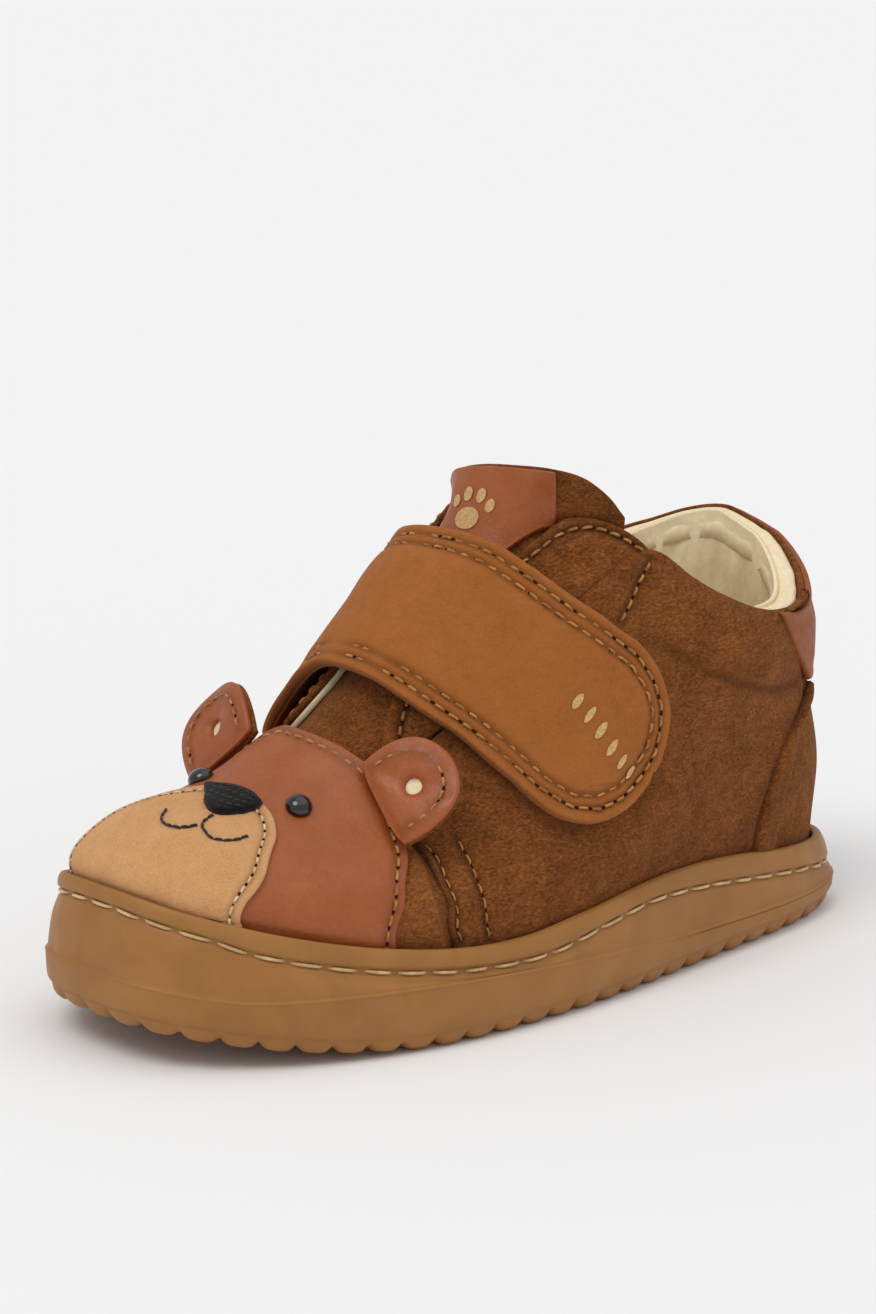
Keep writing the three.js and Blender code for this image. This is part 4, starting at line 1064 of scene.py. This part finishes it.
# ------------------------------------------------------------------ facings
def make_facings():
    rear = [(t + .6, v + .001) for t, v in CREASE]
    front = [(154, .572), (158, .6), (161.5, .635), (163, .67), (160, .76), (154, .85), (147, .905),
             (140, .97)]
    top = [(107.6, .986), (117, .988), (127, .99), (135.5, .988), (140, .97)]
    for side, place in SIDES.items():
        shape = edges(place(rear), place(front), place([rear[0], front[0]]), place(top))
        ridge_line = seam_line(place([(109.5, .966), (116, .965), (124, .966), (130, .962), (136, .945),
                                      (142, .90), (149, .845), (154.5, .76), (157.5, .67),
                                      (156, .63), (151, .58)]), 0)
        pull = pinch([ridge_line], .4, .85)
        fold = seam_line(place(rear), 0)[0]
        panel(f"facing_{side}_suede", shape, -SUEDE, 0.0, 110, 60, "suede", "shoe",
              radius=.5, seams=[ridge_line], replaces=(f"facing_{side}",),
              relief=lambda P, t, v, e: (pull(P) + .15 * wobble(P, 12, 61, 2)
                                         - .3 * smooth(1 - nearest(P, fold) / 1.6)))
        P, N = ridge_line
        stitches(f"facing_{side}_stitches", [(P - N * .02, N)], DARK, "shoe", 2.5, .7, .24,
                 .1, seed=63)
        panel(f"facing_{side}_liner", part_of(shape, 0, .95), -SUEDE - GAP - LINING,
              -SUEDE - GAP * .3, 60, 30, "lining_leather", "shoe", radius=.3,
              replaces=(f"facing_lining_{side}",))


# ------------------------------------------------------------------ tongue
TONGUE_DEPTH, TONGUE_FOOT, TONGUE_NECK = SUEDE + 2 * GAP + LINING, .5, .99
tongue_reach = curve([(0, 40), (.5, 56), (1, 66)])
tongue_rim = curve([(-1, -13.5, 19.4, 70.5), (-.92, -13.5, 16, 72.4), (-.8, -13.3, 12, 73.8),
                    (-.62, -12.2, 9, 75.8), (-.3, -7, 6.6, 79.3), (0, 0, 6, 81.2), (.3, 7, 6.6, 82),
                    (.62, 13, 8.7, 82), (.8, 15.5, 13, 80.3), (.92, 16.3, 17.5, 76.8),
                    (1, 16.2, 21, 73)])


def tongue(s, h, d):
    """s runs from edge to edge, h from the foot (0) past the neck (1) to the rim (2)."""
    s, h, d = np.broadcast_arrays(*(np.asarray(x, float) for x in (s, h, d)))
    low = np.minimum(h, 1)
    t = 180 - s * tongue_reach(low)
    bend = .86 + .105 * smooth((np.abs(s) - .25) / .3)
    start = offset(t, TONGUE_FOOT + (bend - TONGUE_FOOT) * low, d - TONGUE_DEPTH)
    neck = offset(t, TONGUE_NECK + 0 * t, d - TONGUE_DEPTH)
    outward = last_normal(t, TONGUE_NECK + 0 * t)
    outward = unit(outward * [1, 1, .35])
    rim = tongue_rim(s) + outward * d[..., None]
    k = np.maximum(h - 1, 0)[..., None]
    return start * (1 - k) ** 2 + neck * 2 * k * (1 - k) + rim * k * k


def tongue_piece(name, start, stop, reach, low, high, material_name, cols=70, rows=80, radius=.45,
                 relief=None, inward=False, replaces=()):
    a, b = np.meshgrid(steps(cols, .014), steps(rows, .009), indexing="ij")
    h = start + (stop - start) * b
    s = (2 * a - 1) * (reach(h) if callable(reach) else reach)
    h = h - np.maximum(.45 - 2 * a, 0) ** 2 * smooth(b)         # its inner corner is round
    base = tongue(s, h, 0 * h)
    ea, eb = arc(base, 0), arc(base, 1)
    drop = rounded(ea, eb, radius)
    extra = relief(base, s, h, np.minimum(ea, eb)) if relief else 0
    if inward:
        top, bottom = tongue(s, h, np.minimum(low - extra + drop, high - .05)), tongue(s, h, high)
    else:
        top, bottom = tongue(s, h, np.maximum(high + extra - drop, low + .05)), tongue(s, h, low)
    return new_object(name, *closed_sheet(top, bottom), material_name, "tongue", replaces)


def make_tongue():
    foam_top = -SUEDE - GAP
    lining_top = foam_top - TONGUE_FOAM - GAP
    tongue_piece("tongue_suede", 0, 2, 1, -SUEDE, 0.0, "suede", replaces=("tongue_shell",),
                 relief=lambda P, s, h, e: .2 * wobble(P, 12, 71, 2))
    foam = tongue_piece("tongue_padding", .05, 1.96, .95, foam_top - TONGUE_FOAM, foam_top + .2, "foam",
                        radius=1.0, replaces=("tongue_foam",))
    tongue_piece("tongue_liner", 0, 2, 1, lining_top - LINING, lining_top, "lining_leather",
                 relief=lambda P, s, h, e: .2 * wobble(P, 9, 75, 2) * smooth(e / 2), inward=True,
                 replaces=("tongue_lining",))
    high = GAP + .8
    tongue_piece("tongue_patch_leather", .86, 1.97, lambda h: .2 + .42 * smooth((h - .98) / .2),
                 .05, high, "cap_leather", 80, 90, .5, replaces=("tongue_patch",),
                 relief=lambda P, s, h, e: .2 * smooth(e / 2) + .12 * wobble(P, 8, 73, 2))
    # a paw print pressed in gold
    verts, faces = [], []
    turns = 24
    for cs, ch, rs, rh in ((0, 1.5, .1, .1), (-.16, 1.63, .04, .06), (-.058, 1.71, .04, .065),
                           (.058, 1.71, .04, .065), (.16, 1.63, .04, .06)):
        first = len(verts)
        for w in [None, *(np.arange(turns) * 2 * math.pi / turns)]:
            ds, dh = (0, 0) if w is None else (rs * math.cos(w), rh * math.sin(w))
            P0 = tongue(cs + ds, ch + dh, 0.0)
            verts.append(tongue(cs + ds, ch + dh, high + .36 + .12 * wobble(P0[None], 8, 73, 2)[0]))
        faces += [(first, first + 1 + i, first + 1 + (i + 1) % turns) for i in range(turns)]
    new_object("tongue_paw_print", verts, faces, "foil", "tongue")


# ------------------------------------------------------------------ strap
STRAP_LOWER = [(248, .34), (237, .43), (226, .51), (210, .605), (193, .65), (178, .658), (163.5, .652),
               (148, .628), (136.5, .596), (123, .532), (115.5, .48), (106, .412), (98.5, .376),
               (93.5, .395), (91, .46)]
STRAP_UPPER = [(254, .585), (247, .655), (238, .725), (217, .85), (194.5, .898), (174.5, .916),
               (156, .9), (139.5, .856), (126, .816), (114.5, .788), (106, .768), (99, .724),
               (94, .664), (91.7, .6), (90.4, .53)]
ROOT_END = 2 / 14             # share of the strap that is sewn down


def make_strap():
    whole = band(STRAP_LOWER, STRAP_UPPER)
    back_low, top_low = STRAP_LIFT, STRAP_LIFT + STRAP + GAP
    high = top_low + STRAP
    rim = STRAP_LOWER + STRAP_UPPER[::-1]
    outer = inset(rim, -1.9, high)
    inner = inset(rim, -3.9, high)
    pull = pinch([outer, inner], .34, .7)
    relief = lambda P, t, v, e: pull(P) + .18 * wobble(P, 15, 81, 2) + .25 * smooth((e - 3.6) / 3)
    panel("strap_anchor_nubuck", part_of(whole, 0, ROOT_END + .006), .15, high, 50, 70, "nubuck",
          "shoe", relief=relief, seams=[outer, inner], seam_width=.7, replaces=("strap_anchor",))
    top = panel("strap_nubuck", part_of(whole, ROOT_END - .004, 1), back_low + .5, high, 260, 70,
                "nubuck", None, relief=relief, seams=[outer, inner], seam_width=.7,
                replaces=("strap_top", "strap_tip_top"))
    lining = panel("strap_lining", part_of(whole, ROOT_END, .997, .01, .99), back_low, back_low + .52,
                   200, 40, "nubuck", None, radius=.2, replaces=("strap_backing", "strap_tip_backing"))
    low, mid, up = (offset(*whole(np.array([a]), np.array([.5])), np.array([high]))[0]
                    for a in (ROOT_END - .03, ROOT_END, ROOT_END + .03))
    bend = np.array([-.16, 24.46, 16.66])
    upward = unit((up - low) - unit(bend) * ((up - low) @ unit(bend)))
    for piece in (top, lining):
        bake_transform(piece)
    for name, (P, N) in (("strap_stitches_outer", outer), ("strap_stitches_inner", inner)):
        free = np.nonzero((P - mid) @ upward > .6)[0]
        first, last_one = free[0], free[-1] + 1
        P = P - N * .08
        for a in stitches(name, [(P[first:last_one], N[first:last_one])], DARK, None, 2.6, .72, .23, .1,
                          seed=83):
            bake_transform(a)
        stitches(name + "_root", [(P[:first - 2], N[:first - 2]), (P[last_one + 2:], N[last_one + 2:])],
                 DARK, "shoe", 2.6, .72, .23, .1, seed=84)
    # small gold leaves along the strap's end
    verts, faces = [], []
    for k in range(6):
        a0, b0 = .655 + .036 * k, .53 - .012 * k
        first = len(verts)
        for w in [None, *(np.arange(16) * 2 * math.pi / 16)]:
            da = 0 if w is None else .0075 * math.cos(w) * abs(math.cos(w)) ** .3
            db = 0 if w is None else .05 * math.sin(w)
            t, v = whole(np.array([a0 + da]), np.array([b0 + db]))
            P = offset(t, v, np.array([high]))
            verts.append((P + last_normal(t, v) * (.36 + .18 * wobble(P, 15, 81, 2)))[0])
        faces += [(first, first + 1 + i, first + 1 + (i + 1) % 16) for i in range(16)]
    new_object("strap_leaves", verts, faces, "foil", "strap_tip")


make_sole()
make_toe()
make_face()
make_ears()
make_quarters()
make_facings()
make_tongue()
make_strap()

CAD_LOOKS = {"insole_board": "board", "footbed": "lining_leather", "toe_puff": "stiffener",
             "vamp_lining": "lining_leather", "heel_counter": "stiffener",
             "hook_tape": "tape", "loop_patch": "tape"}
for name, look in CAD_LOOKS.items():
    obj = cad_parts[name]
    obj.data.materials.clear()
    obj.data.materials.append(MATERIALS[look])

# ------------------------------------------------------------------ floor, light and camera
scene = bpy.context.scene
scene.view_settings.view_transform = "Standard"
scene.view_settings.look = "None"
size = 4.0
floor_mesh = bpy.data.meshes.new("floor")
floor_mesh.from_pydata([(-size, -size, 0), (size, -size, 0), (size, size, 0), (-size, size, 0)], [],
                       [(0, 1, 2, 3)])
floor = bpy.data.objects.new("floor", floor_mesh)
scene.collection.objects.link(floor)
tree, shader = material("floor_paint", None, .9, Specular_IOR_Level=.1)
shader.inputs["Base Color"].default_value = (.93, .93, .93, 1)
floor.data.materials.append(MATERIALS["floor_paint"])
world = bpy.data.worlds.new("studio")
world.use_nodes = True
world.node_tree.nodes["Background"].inputs["Color"].default_value = (1, 1, 1, 1)
world.node_tree.nodes["Background"].inputs["Strength"].default_value = .6
scene.world = world


def sun(name, toward, strength, angle):
    data = bpy.data.lights.new(name, "SUN")
    data.energy, data.angle = strength, math.radians(angle)
    obj = bpy.data.objects.new(name, data)
    obj.rotation_euler = Vector(toward).to_track_quat("Z", "Y").to_euler()
    scene.collection.objects.link(obj)


sun("key", (.2, -.9, 1.5), .95, 32)
sun("top", (.5, .3, 1.6), .38, 60)

AZIMUTH, ELEVATION = math.radians(49.640), math.radians(14.278)
back = Vector((math.sin(AZIMUTH) * math.cos(ELEVATION), -math.cos(AZIMUTH) * math.cos(ELEVATION),
               math.sin(ELEVATION)))
target = Vector(((-5.03 + CENTRE[0]) * MM, 0, 49.65 * MM))
camera_data = bpy.data.cameras.new("camera")
camera_data.sensor_width, camera_data.lens = 36, 172.4
camera = bpy.data.objects.new("camera", camera_data)
camera.location = target + back
camera.rotation_euler = back.to_track_quat("Z", "Y").to_euler()
scene.collection.objects.link(camera)
scene.camera = camera
